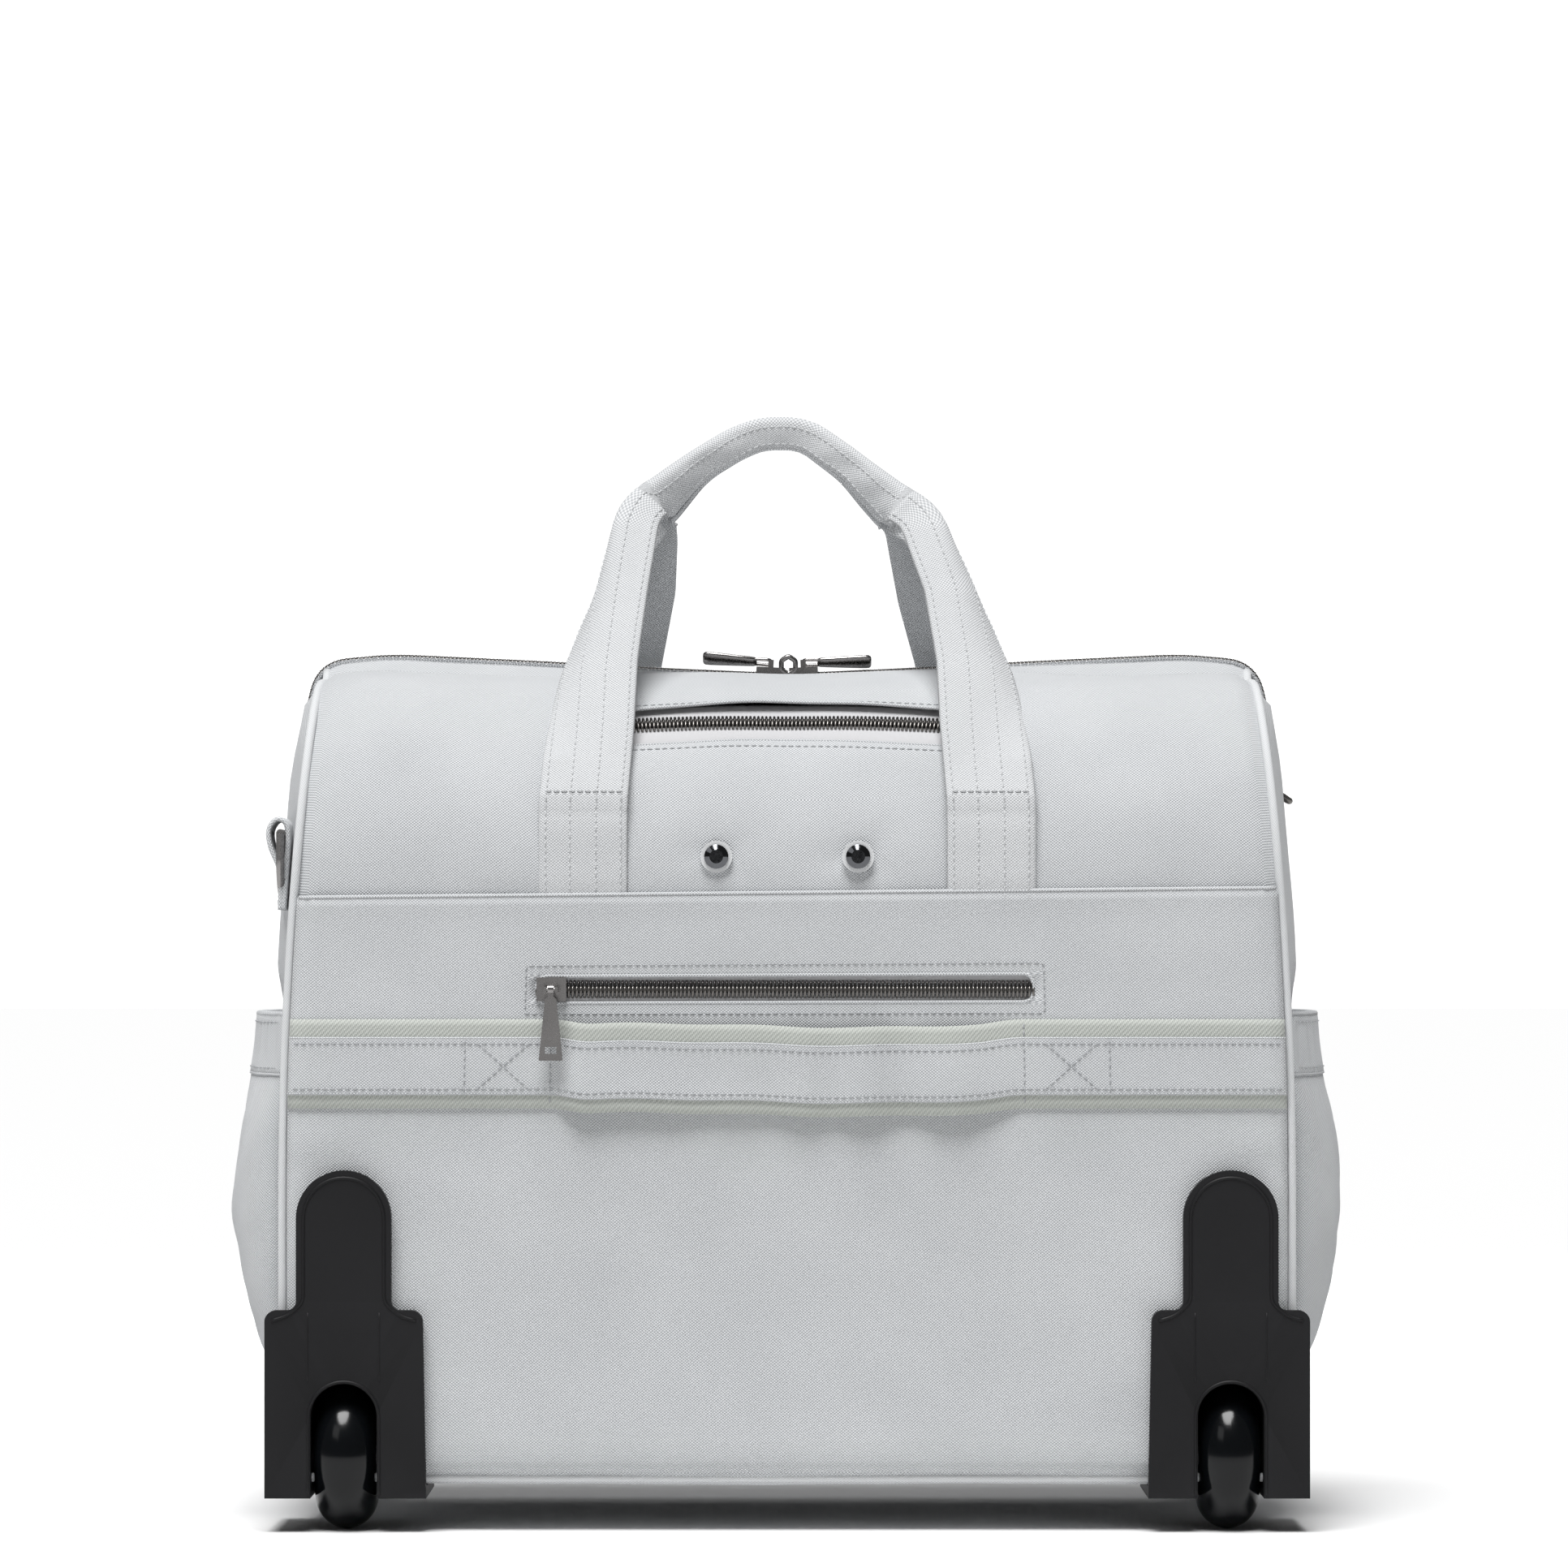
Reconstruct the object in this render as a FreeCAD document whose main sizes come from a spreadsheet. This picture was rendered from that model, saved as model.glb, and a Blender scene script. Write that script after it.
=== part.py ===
"""Soft wheeled overnight bag with a telescopic trolley, built as an assembly of separate pieces.

Millimetres. +X runs along the bag, the wheels and the trolley are at -Y, +Z is up, and the origin is on
the floor under the middle of the bag. Each sub-part's Label is the name of its file.
"""
import FreeCAD, Part
import math
import os
import re

import Sketcher
from FreeCAD import Placement, Rotation, Vector

doc = FreeCAD.newDocument("WheeledBag")

# ---------------------------------------------------------------- driving dimensions
SIZES = {
    # fabric shell
    "half_width": 223,        # middle of the bag to the outside of the corner piping
    "half_depth": 110,        # middle of the bag to its back or front face
    "bottom": 20,             # underside of the fabric above the floor
    "wall": 4,                # padded fabric panel
    "shoulder": 95,           # radius that rolls the back and the front into the crest
    "crest": 379,             # height of the crest at its lowest, in the middle
    "crest_rise": 9,          # how much higher the crest is near its ends
    "crest_run": 190,         # where it has risen that much
    "bend_from": 150,         # height where the ends start to lean in
    "bend_to": 289,           # height where they go on straight
    "bend_radius": 1824,
    "piping": 3,              # radius of the corner piping
    "piping_corner": 14,
    "seam": 22,               # crest seam from the middle plane
    # main zip
    "coil_half": 3.5,
    "coil_tall": 2.5,
    "tape_half": 6.2,
    "strip_thick": 3,
    "tape_thick": 1,
    "end_zip_low": 322,
    # zip sliders and pulls
    "slider_long": 13,
    "slider_half": 5.2,
    "slider_plate": 1.5,
    "slider_gap": 0.3,
    "bar_radius": 0.8,
    "eye_radius": 2,
    "eye_clear": 0.08,
    "pull_long": 31,
    "pull_thick": 1.6,
    "crest_bar": 2.3,         # pivot bar above the slider plate, crest zip
    "crest_slider": 7.6,      # first place of each crest slider from the middle
    # back pocket and its zip
    "pocket_thick": 3,
    "pocket_top": 279,
    "pocket_zip_left": 111,
    "pocket_zip_right": 109,
    "pocket_zip_z": 237,
    "window_tall": 13,
    "flat_coil": 2,
    "pocket_slider": 103,
    "pocket_bar": 7.2,
    # grab band
    "band_low": 185,
    "band_high": 224,
    "band_cover_low": 191,
    "band_cover_high": 216,
    "band_loose": 103,
    "band_thick": 1.3,
    "band_gap": 4.7,
    "band_slope": 7,
    # carry handles
    "strap_in": 70,
    "strap_out": 108,
    "strap_thick": 3,
    "anchor_top": 313,
    "handle_lean": 30.8,
    "handle_y": 109.7,
    "handle_z": 317,
    "handle_thick": 5,
    "handle_start": 4.5,
    # trolley
    "slit_back": 103,
    "slit_front": 72,
    "slit_half": 90,
    "trolley_y": 88,
    "tube_x": 50,
    "outer_wide": 24,
    "outer_deep": 17,
    "tube_step_wide": 2.8,
    "tube_wall": 1,
    "tube_low": 34,
    "bezel_low": 264,
    "bezel_floor": 4,
    "bezel_top": 299,
    "bezel_half": 70,
    "grip_half": 64,
    "grip_deep": 24,
    "grip_low": 284,
    "grip_top": 310,
    "button_half": 15,
    "button_deep": 10,
    "button_proud": 2,
    "zip_arc_z": 286,         # centre of the arc that the trolley zip lies on
    "zip_arc": 92.5,          # radius to the top of its tape
    "zip_angle": 46,
    "zip_parked": 80,
    "rivet_x": 31,
    "rivet_z": 295,
    # wheels and their housings
    "wheel_x": 193.5,
    "wheel_y": 92,
    "wheel_radius": 32,
    "tyre_half": 13.5,
    "hub_radius": 15,
    "bearing_radius": 11,
    "bearing_wide": 7,
    "axle_radius": 4,
    "running": 0.05,          # running clearance of a fit, on the radius
    "well_half": 17.5,
    "well_top": 72,
    "well_front": 53,
    "arch_half": 14.5,
    "housing_half": 34.5,
    "housing_low": 15,
    "housing_back": 118.5,
    "housing_step": 97,
    "tongue_half": 20.75,
    "tongue_top": 158,
    "cheek_front": 100.5,
    "screw_radius": 1.75,
    "screw_head": 4,
    "screw_high": 130,
    "screw_low": 84,
    "screw_inset": 24,
    # side pockets
    "side_half": 96,
    "side_sag": 33,
    "side_top": 226,
    "side_low": 58,
    "side_out": 252,
    "hem_low": 200,
    # shoulder strap rings
    "ring_z": 306,
    "ring_x": 224.5,
    "ring_left_y": 60,
    "ring_right_y": 75,
    "ring_wire": 1.8,
    "ring_inside": 25,
    "ring_tall": 24,
    # front pocket, boards, feet
    "front_half": 185,
    "front_low": 55,
    "front_high": 262,
    "front_face": 119,
    "front_zip_z": 230,
    "front_zip_half": 150,
    "board_half": 205,
    "foot_x": 192,
    "foot_y": 85,
    "foot_face": 10,
    "foot_top": 14,
    "board_low": 30,
    "board_high": 282,
    "board_face": 104.5,
    "board_thick": 1.5,
    "base_half": 214,
    "base_depth": 102,
    "base_thick": 2.5,
    "inside_low": 26.5,       # top of the base board
    "lining_half": 120,
    "lining_front": 68.5,
    "lining_thick": 1.5,
    "lining_high": 305,
    "divider_half": 165,
    "divider_front": 44,
    "divider_thick": 6,
    "divider_high": 285,
}

sheet = doc.addObject("Spreadsheet::Sheet", "Sizes")
for row, (alias, number) in enumerate(SIZES.items(), start=1):
    sheet.set(f"A{row}", alias)
    sheet.set(f"B{row}", str(number))
    sheet.setAlias(f"B{row}", alias)
doc.recompute()

# places worked out from the driving dimensions, as expressions
ARC_Y = "(half_depth - shoulder)"
ARC_Z = "(crest - shoulder)"
LEAN_RUN = "sqrt(bend_radius^2 - (bend_to - bend_from)^2)"
SIDE_AT_BEND = f"(half_width - bend_radius + {LEAN_RUN})"
CREST_SLOPE = "(crest_rise / crest_run)"
END_RISE = f"({CREST_SLOPE} * (half_width - 6))"
BACK = "(-half_depth)"
POCKET_FACE = "(-half_depth - pocket_thick)"
SECOND_WIDE = "(outer_wide - tube_step_wide)"


def side_at(height):
    """Half the bag's width at a height above the bend, to the outside of the piping."""
    return f"({SIDE_AT_BEND} - ({height} - bend_to) * (bend_to - bend_from) / {LEAN_RUN})"


# ---------------------------------------------------------------- helpers
def linked(expression):
    """The expression with each alias read from the sheet."""
    return re.sub(
        r"[a-z_]+", lambda word: f"Sizes.{word[0]}" if word[0] in SIZES else word[0], str(expression)
    )


def value(expression):
    """The expression's number."""
    result = sheet.evalExpression(linked(expression))
    return float(getattr(result, "Value", result))


def bind(item, **sizes):
    """Ties each property of the item to the sheet; a double underscore in a name stands for a dot."""
    for name, expression in sizes.items():
        item.setExpression(name.replace("__", "."), linked(expression))
    return item


def place(item, x=0, y=0, z=0, rotation=None):
    if rotation is not None:
        item.Placement = Placement(Vector(), rotation)
    return bind(item, Placement__Base__x=x, Placement__Base__y=y, Placement__Base__z=z)


def box(name, low, high):
    """A box between two corners, each three expressions."""
    item = doc.addObject("Part::Box", name)
    spans = [f"({b}) - ({a})" for a, b in zip(low, high)]
    bind(item, Length=spans[0], Width=spans[1], Height=spans[2])
    return place(item, *low)


AXES = {
    "X": Rotation(Vector(0, 1, 0), 90),
    "Y": Rotation(Vector(1, 0, 0), -90),
    "Z": Rotation(),
}


def cylinder(name, radius, low, length, axis):
    """A cylinder that starts at the point low and runs along +X, +Y or +Z."""
    item = doc.addObject("Part::Cylinder", name)
    bind(item, Radius=radius, Height=length)
    return place(item, *low, rotation=AXES[axis])


PLANES = {
    "XY": Rotation(),
    "XZ": Rotation(Vector(1, 0, 0), 90),
    "YZ": Rotation(Vector(1, 1, 1), 120),
}


def outline(name, plane, corners, rotation=None):
    """A closed sketch. A corner is (u, v), or (u, v, radius, side) where an arc runs to the next corner,
    bulging to the right of the way there with side 1 and to the left with side -1."""
    sketch = doc.addObject("Sketcher::SketchObject", name)
    sketch.Placement = Placement(Vector(), rotation or PLANES[plane])
    points = [Vector(value(c[0]), value(c[1]), 0) for c in corners]
    ends = []
    for index, corner in enumerate(corners):
        start = points[index]
        end = points[(index + 1) % len(points)]
        if len(corner) == 2:
            sketch.addGeometry(Part.LineSegment(start, end))
            ends.append((1, 2))
            continue
        radius = value(corner[2])
        chord = end - start
        out = Vector(chord.y, -chord.x, 0).normalize() * corner[3]
        depth = math.sqrt(max(radius**2 - (chord.Length / 2) ** 2, 0))
        middle = (start + end) * 0.5 + out * (radius - depth)
        sketch.addGeometry(Part.Arc(start, middle, end))
        first = sketch.getPoint(index, 1)
        ends.append((1, 2) if first.distanceToPoint(start) < 1e-6 else (2, 1))
    for index, corner in enumerate(corners):
        after = (index + 1) % len(corners)
        sketch.addConstraint(
            Sketcher.Constraint("Coincident", index, ends[index][1], after, ends[after][0])
        )
        for kind, expression, at in (
            ("DistanceX", corner[0], points[index].x),
            ("DistanceY", corner[1], points[index].y),
        ):
            number = sketch.addConstraint(
                Sketcher.Constraint(kind, -1, 1, index, ends[index][0], at)
            )
            sketch.setExpression(f"Constraints[{number}]", linked(expression))
        if len(corner) == 4:
            number = sketch.addConstraint(
                Sketcher.Constraint("Radius", index, value(corner[2]))
            )
            sketch.setExpression(f"Constraints[{number}]", linked(corner[2]))
    return sketch


def extrude(sketch, length, both=False, direction=None):
    item = doc.addObject("Part::Extrusion", sketch.Name + "_solid")
    item.Base = sketch
    item.Solid = True
    item.Symmetric = both
    if direction is None:
        item.DirMode = "Normal"
    else:
        item.DirMode = "Custom"
        item.Dir = direction
    return bind(item, LengthFwd=length)


def revolve(name, corners):
    """Turns an outline in the XZ plane round the X axis."""
    item = doc.addObject("Part::Revolution", name)
    item.Source = outline(name + "_section", "XZ", corners)
    item.Axis = Vector(1, 0, 0)
    item.Base = Vector(0, 0, 0)
    item.Angle = 360
    item.Solid = True
    return item


def fuse(name, *items):
    item = doc.addObject("Part::MultiFuse", name)
    item.Shapes = list(items)
    return item


def common(name, *items):
    item = doc.addObject("Part::MultiCommon", name)
    item.Shapes = list(items)
    return item


def cut(name, base, tool):
    item = doc.addObject("Part::Cut", name)
    item.Base = base
    item.Tool = tool
    return item


def group(name, *items):
    item = doc.addObject("Part::Compound", name)
    item.Links = list(items)
    return item


def mirror(name, source, normal):
    item = doc.addObject("Part::Mirroring", name)
    item.Source = source
    item.Normal = normal
    item.Base = Vector(0, 0, 0)
    return item


LEFT = Vector(1, 0, 0)
FRONT = Vector(0, 1, 0)
PARTS = []


def part(item, label, x=0, y=0, z=0, rotation=None):
    """Marks an object as a sub-part: its label names its file."""
    item.Label = label
    if rotation is not None or (x, y, z) != (0, 0, 0):
        place(item, x, y, z, rotation=rotation)
    PARTS.append(item)
    return item


def draped(name, corners, flat=False):
    """A YZ section carried to both ends of the bag, rising with the crest unless it is flat."""
    section = outline(name + "_section", "YZ", corners)
    halves = []
    for side in (1, -1):
        rise = 0 if flat else value(CREST_SLOPE)
        half = extrude(section, "half_width + 10", direction=Vector(side, 0, rise))
        half.Label = f"{name}_{'right' if side > 0 else 'left'}"
        halves.append(half)
    return fuse(name, *halves)


def shoulder_strip(name, inner, outer, low, end_y, flat=False):
    """A strip of the back between two radii, from a low height up and over to y = -end_y."""
    end_inner = f"{ARC_Z} + sqrt({inner}^2 - (({end_y}) - {ARC_Y})^2)"
    end_outer = f"{ARC_Z} + sqrt({outer}^2 - (({end_y}) - {ARC_Y})^2)"
    corners = [
        (f"-{ARC_Y} - {outer}", low),
        (f"-{ARC_Y} - {outer}", ARC_Z, outer, -1),
        (f"-({end_y})", end_outer),
        (f"-({end_y})", end_inner, inner, 1),
        (f"-{ARC_Y} - {inner}", ARC_Z),
        (f"-{ARC_Y} - {inner}", low),
    ]
    return draped(name, corners, flat)


def side_curve(inset, low, high):
    """Corners of the right side's outline in XZ, from low to high."""
    return [
        (f"half_width - {inset}", low),
        (f"half_width - {inset}", "bend_from", "bend_radius", 1),
        (f"{SIDE_AT_BEND} - {inset}", "bend_to"),
        (f"{side_at(high)} - {inset}", high),
    ]


def envelope(name, inset, low, high, corner):
    """The block that the panels are trimmed to, its lower corners rounded."""
    side = side_curve(inset, f"{low} + {corner}", high)
    right = [(f"half_width - {inset} - {corner}", low, corner, 1)] + side
    left = [
        (f"-({right[4][0]})", right[4][1]),
        (f"-({right[3][0]})", right[3][1], "bend_radius", 1),
        (f"-({right[2][0]})", right[2][1]),
        (f"-({right[1][0]})", right[1][1], corner, 1),
        (f"-({right[0][0]})", right[0][1]),
    ]
    return extrude(outline(name, "XZ", right + left), "3 * half_depth", both=True)


def end_strip(name, inner, outer, low, high, half):
    """A strip on the right end, between two distances out from its face."""
    corners = [
        (f"{side_at(low)} + {inner}", low),
        (f"{side_at(low)} + {outer}", low),
        (f"{side_at(high)} + {outer}", high),
        (f"{side_at(high)} + {inner}", high),
    ]
    return extrude(outline(name, "XZ", corners), f"2 * {half}", both=True)


def both_sides(name, item):
    return group(name, item, mirror(name + "_left", item, LEFT))


# ---------------------------------------------------------------- cutters that several pieces share
well = box(
    "well",
    ("wheel_x - well_half", "-housing_back", "housing_low"),
    ("wheel_x + well_half", "-well_front", "well_top"),
)
wells = fuse("wells", well, mirror("well_left", well, LEFT))
SCREWS = [("wheel_x", "screw_high"), ("wheel_x - screw_inset", "screw_low")]
shanks = []
for number, (screw_x, screw_z) in enumerate(SCREWS):
    shanks.append(
        cylinder(f"shank_{number}", "screw_radius", (screw_x, -116, screw_z), 11.5, "Y")
    )
shanks_right = fuse("shanks_right", *shanks)
shanks_all = fuse("shanks_all", shanks_right, mirror("shanks_left", shanks_right, LEFT))
rivet_bore = cylinder("rivet_bore", 3, ("rivet_x", -116, "rivet_z"), 16, "Y")
rivet_bores = fuse("rivet_bores", rivet_bore, mirror("rivet_bore_left", rivet_bore, LEFT))
slit = box(
    "slit", ("-slit_half", "-slit_back", 300), ("slit_half", "-slit_front", 400)
)
back_cuts = fuse("back_cuts", wells, shanks_all, rivet_bores, slit)
pocket_cuts = fuse("pocket_cuts", wells, shanks_all)
trim = envelope("trim", "6", "(bottom + 6)", 400, "11")
crest_trim = envelope("crest_trim", "1", "(bottom + 6)", 400, "11")

# ---------------------------------------------------------------- fabric shell
panel = common("panel", shoulder_strip("shell", "(shoulder - wall)", "shoulder", -20, "seam"), trim)
part(cut("back", panel, back_cuts), "back_panel")
part(mirror("front", panel, FRONT), "front_panel")

end_inset = 5.4
end_section = [
    (f"-half_depth + {end_inset}", "bottom + wall"),
    (f"half_depth - {end_inset}", "bottom + wall"),
    (f"half_depth - {end_inset}", f"{ARC_Z} + {END_RISE}", f"shoulder - {end_inset}", 1),
    (ARC_Y, f"crest + {END_RISE} - {end_inset}"),
    (f"-{ARC_Y}", f"crest + {END_RISE} - {end_inset}", f"shoulder - {end_inset}", 1),
    (f"-half_depth + {end_inset}", f"{ARC_Z} + {END_RISE}"),
]
end_outside = side_curve("1", "(bottom + wall)", 392)
end_inside = side_curve("(wall + 1)", "(bottom + wall)", 392)
end_band = end_outside + [
    end_inside[3],
    (end_inside[2][0], end_inside[2][1], "bend_radius", -1),
    (end_inside[1][0], end_inside[1][1]),
    end_inside[0],
]
end_right = part(
    common(
        "end_right",
        extrude(outline("end_band", "XZ", end_band), "3 * half_depth", both=True),
        extrude(outline("end_fill", "YZ", end_section), "half_width + 10"),
    ),
    "end_panel_right",
)
part(mirror("end_left", end_right, LEFT), "end_panel_left")

bottom_sheet = box(
    "bottom_sheet",
    ("-half_width + 1", "-half_depth + 5", "bottom"),
    ("half_width - 1", "half_depth - 5", "bottom + wall"),
)
part(cut("bottom_cut", bottom_sheet, wells), "bottom_panel")


def crest_strip(name, near, far, low, high):
    corners = [(near, low), (far, low), (far, high), (near, high)]
    return common(name, draped(name + "_run", corners), crest_trim)


gusset = crest_strip("gusset", "tape_half", "seam - 0.1", "crest - strip_thick", "crest")
part(group("gussets", gusset, mirror("gusset_back", gusset, FRONT)), "zip_gussets")
crest_tape = crest_strip(
    "crest_tape", "-tape_half", "tape_half", "crest - 1 - tape_thick", "crest - 1"
)
end_tape = end_strip("end_tape", "-1", "0", "end_zip_low", "385", "8")
part(group("main_tape", crest_tape, both_sides("end_tapes", end_tape)), "main_zip_tape")
crest_coil = crest_strip(
    "crest_coil", "-coil_half", "coil_half", "crest - 1", "crest - 1 + coil_tall"
)
end_coil = end_strip("end_coil", "0", "2", "end_zip_low", "384", "coil_half")
part(group("main_coil", crest_coil, both_sides("end_coils", end_coil)), "main_zip_coil")

# corner piping: up one end of the back, round the lower corner, along the bottom and up the other end
lean = math.atan2(value("bend_to - bend_from"), value(LEAN_RUN))
up = Vector(-math.sin(lean), 0, math.cos(lean))
back_y = -value("half_depth - 2")
pipe_x = value("half_width - piping")
pipe_z = value("bottom + piping")
pipe_corner = value("piping_corner")
roll = value("half_depth - 2") - value(ARC_Y)
bend_x = value(SIDE_AT_BEND) - value("piping")
shoulder_at = Vector(bend_x, back_y, value("bend_to"))
shoulder_at += up * (value(f"{ARC_Z} + {END_RISE} - bend_to") / up.z)
roll_centre = shoulder_at + Vector(0, roll, 0)
roll_turn = math.acos(value(f"seam - {ARC_Y}") / roll)


def on_roll(share):
    turn = roll_turn * share
    return roll_centre + Vector(0, -roll * math.cos(turn), 0) + up * (roll * math.sin(turn))


middle_z = value("(bend_from + bend_to) / 2")
middle_drop = math.sqrt(value("bend_radius") ** 2 - (middle_z - value("bend_from")) ** 2)
middle_x = pipe_x - value("bend_radius") + middle_drop
corner_mid = pipe_corner * (1 - math.sqrt(0.5))
half_route = [
    ("arc", on_roll(1), on_roll(0.5), shoulder_at),
    ("line", shoulder_at, Vector(bend_x, back_y, value("bend_to"))),
    (
        "arc",
        Vector(bend_x, back_y, value("bend_to")),
        Vector(middle_x, back_y, middle_z),
        Vector(pipe_x, back_y, value("bend_from")),
    ),
    (
        "line",
        Vector(pipe_x, back_y, value("bend_from")),
        Vector(pipe_x, back_y, pipe_z + pipe_corner),
    ),
    (
        "arc",
        Vector(pipe_x, back_y, pipe_z + pipe_corner),
        Vector(pipe_x - corner_mid, back_y, pipe_z + corner_mid),
        Vector(pipe_x - pipe_corner, back_y, pipe_z),
    ),
]


def route_edge(kind, *points):
    if kind == "line":
        return Part.LineSegment(*points).toShape()
    return Part.Arc(*points).toShape()


right_edges = [route_edge(*step) for step in half_route]
left_edges = []
for step in reversed(half_route):
    flipped = [Vector(-p.x, p.y, p.z) for p in reversed(step[1:])]
    left_edges.append(route_edge(step[0], *flipped))
along = Part.LineSegment(half_route[-1][3], Vector(pipe_corner - pipe_x, back_y, pipe_z)).toShape()
route = doc.addObject("Part::Feature", "piping_route")
route.Shape = Part.Wire(right_edges + [along] + left_edges)
ring = doc.addObject("Part::Circle", "piping_ring")
first_way = right_edges[0].tangentAt(right_edges[0].FirstParameter)
ring.Placement = Placement(on_roll(1), Rotation(Vector(0, 0, 1), first_way))
bind(ring, Radius="piping")
tube = doc.addObject("Part::Sweep", "piping_tube")
tube.Sections = [ring]
tube.Spine = (route, [f"Edge{n + 1}" for n in range(len(route.Shape.Edges))])
tube.Solid = True
tube.Frenet = False
pipes = group("pipes", cut("piping_back", tube, wells), mirror("piping_front", tube, FRONT))
part(pipes, "corner_piping")

# ---------------------------------------------------------------- back pocket, its zip and the grab band
sheet_back = box(
    "sheet_back",
    ("-half_width", POCKET_FACE, "bottom + 6"),
    ("half_width", BACK, "pocket_top"),
)
window = box(
    "window",
    ("-pocket_zip_left", POCKET_FACE, "pocket_zip_z - window_tall / 2"),
    ("pocket_zip_right", BACK, "pocket_zip_z + window_tall / 2"),
)
pocket_body = common("pocket_body", sheet_back, trim)
part(cut("pocket_cut", pocket_body, fuse("pocket_holes", pocket_cuts, window)), "back_pocket")
part(
    box(
        "pocket_tape",
        ("-pocket_zip_left", f"{POCKET_FACE} + flat_coil", "pocket_zip_z - window_tall / 2"),
        ("pocket_zip_right", BACK, "pocket_zip_z + window_tall / 2"),
    ),
    "pocket_zip_tape",
)
part(
    box(
        "pocket_coil",
        ("-pocket_zip_left", POCKET_FACE, "pocket_zip_z - coil_half"),
        ("pocket_zip_right", f"{POCKET_FACE} + flat_coil", "pocket_zip_z + coil_half"),
    ),
    "pocket_zip_coil",
)


def band(name, lift, thick, low, high):
    """A strip across the back, its middle standing off as a grab loop."""
    inner = f"{POCKET_FACE} - {lift}"
    outer = f"{inner} - {thick}"
    half = "(half_width - 6.5)"
    loose = f"(band_loose + {lift} / 2)"
    rise = f"({loose} - band_slope)"
    right = [
        (half, inner),
        (loose, inner),
        (rise, f"{inner} - band_gap"),
    ]
    right_out = [
        (half, outer),
        (f"({loose} + {thick} / 2)", outer),
        (f"({rise} + {thick} / 2)", f"{outer} - band_gap"),
    ]
    left = [(f"-{x}", y) for x, y in reversed(right)]
    left_out = [(f"-{x}", y) for x, y in right_out]
    section = outline(name + "_section", "XY", right + left + left_out + list(reversed(right_out)))
    return part(extrude(section, f"{high} - {low}"), name, 0, 0, low)


band("grab_webbing", "0", "band_thick", "band_low", "band_high")
band("grab_cover", "band_thick", "band_thick", "band_cover_low", "band_cover_high")

# ---------------------------------------------------------------- side pockets
crescent_radius = "((side_half^2 + side_sag^2) / (2 * side_sag))"


def side_block(name, inset, top):
    """The filled shape of a side pocket, pulled in by the inset."""
    plan = [
        ("half_width - 30", f"-side_half + {inset}"),
        ("side_out - side_sag", f"-side_half + {inset}", f"{crescent_radius} - {inset}", 1),
        ("side_out - side_sag", f"side_half - {inset}"),
        ("half_width - 30", f"side_half - {inset}"),
    ]
    profile = [
        ("half_width - 30", f"side_low + {inset}"),
        (f"half_width - 0.5 - {inset}", f"side_low + {inset}", "212", 1),
        (f"side_out - 7 - {inset}", top),
        ("half_width - 30", top),
    ]
    return common(
        name,
        extrude(outline(name + "_plan", "XY", plan), "side_top + 20"),
        extrude(outline(name + "_profile", "XZ", profile), "3 * half_depth", both=True),
    )


body_block = envelope("body_block", "1", "bottom", 400, "4")
bag = cut("bag", side_block("bag_outer", "0", "side_top"), side_block("bag_inner", "2", "side_top + 6"))
bag_skin = cut("bag_skin", bag, body_block)
hem_zone = box("hem_zone", (150, "-half_depth", "hem_low"), (300, "half_depth", "side_top + 1"))
side_right = part(cut("side_right", bag_skin, hem_zone), "side_pocket_right")
part(mirror("side_left", side_right, LEFT), "side_pocket_left")
hem_right = common("hem_right", bag_skin, hem_zone)
part(both_sides("hems", hem_right), "pocket_hems")

# ---------------------------------------------------------------- rings for a shoulder strap
def ring_tab(name, y):
    """A folded webbing tab on the right end, its loop round the ring's bar."""
    half = "ring_inside / 2 - 0.5"
    plate = box(
        name + "_plate",
        (f"{side_at('ring_z')} - 0.5", f"{y} - ({half})", "ring_z - 35"),
        ("ring_x - 4", f"{y} + {half}", "ring_z + 6"),
    )
    loop = cylinder(name + "_loop", 4.5, ("ring_x", f"{y} - ({half})", "ring_z"), f"2 * ({half})", "Y")
    web = box(
        name + "_web",
        ("ring_x - 6", f"{y} - ({half})", "ring_z"),
        ("ring_x", f"{y} + {half}", "ring_z + 4.5"),
    )
    bore = cylinder(name + "_bore", "ring_wire + 0.4", ("ring_x", f"{y} - ring_inside", "ring_z"),
                    "2 * ring_inside", "Y")
    body = cut(name + "_body", fuse(name + "_solid", plate, loop, web), bore)
    return cut(name, body, body_block)


def d_ring(name, y):
    """The ring hanging from its bar on the right end."""
    half = "ring_inside / 2 + ring_wire + 0.6"
    bar = cylinder(name + "_bar", "ring_wire", ("ring_x", f"{y} - ({half})", "ring_z"), f"2 * ({half})", "Y")
    pieces = [bar]
    for side in (-1, 1):
        pieces.append(
            cylinder(
                f"{name}_side_{'back' if side < 0 else 'front'}",
                "ring_wire",
                ("ring_x", f"{y} + {side} * ({half})", "ring_z - ring_tall / 2"),
                "ring_tall / 2",
                "Z",
            )
        )
    bow = doc.addObject("Part::Torus", name + "_bow")
    bind(bow, Radius1=half, Radius2="ring_wire", Angle3="180")
    place(bow, "ring_x", y, "ring_z - ring_tall / 2", rotation=Rotation(Vector(-1, 1, -1), 120))
    return fuse(name, *pieces, bow)


tab_near = ring_tab("tab_near", "(-ring_left_y)")
tab_far = ring_tab("tab_far", "ring_right_y")
part(group("tabs", mirror("tab_left", tab_near, LEFT), tab_far), "ring_tabs")
part(d_ring("ring_far", "ring_right_y"), "ring_right")
part(mirror("ring_mirrored", d_ring("ring_near", "(-ring_left_y)"), LEFT), "ring_left")

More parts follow.
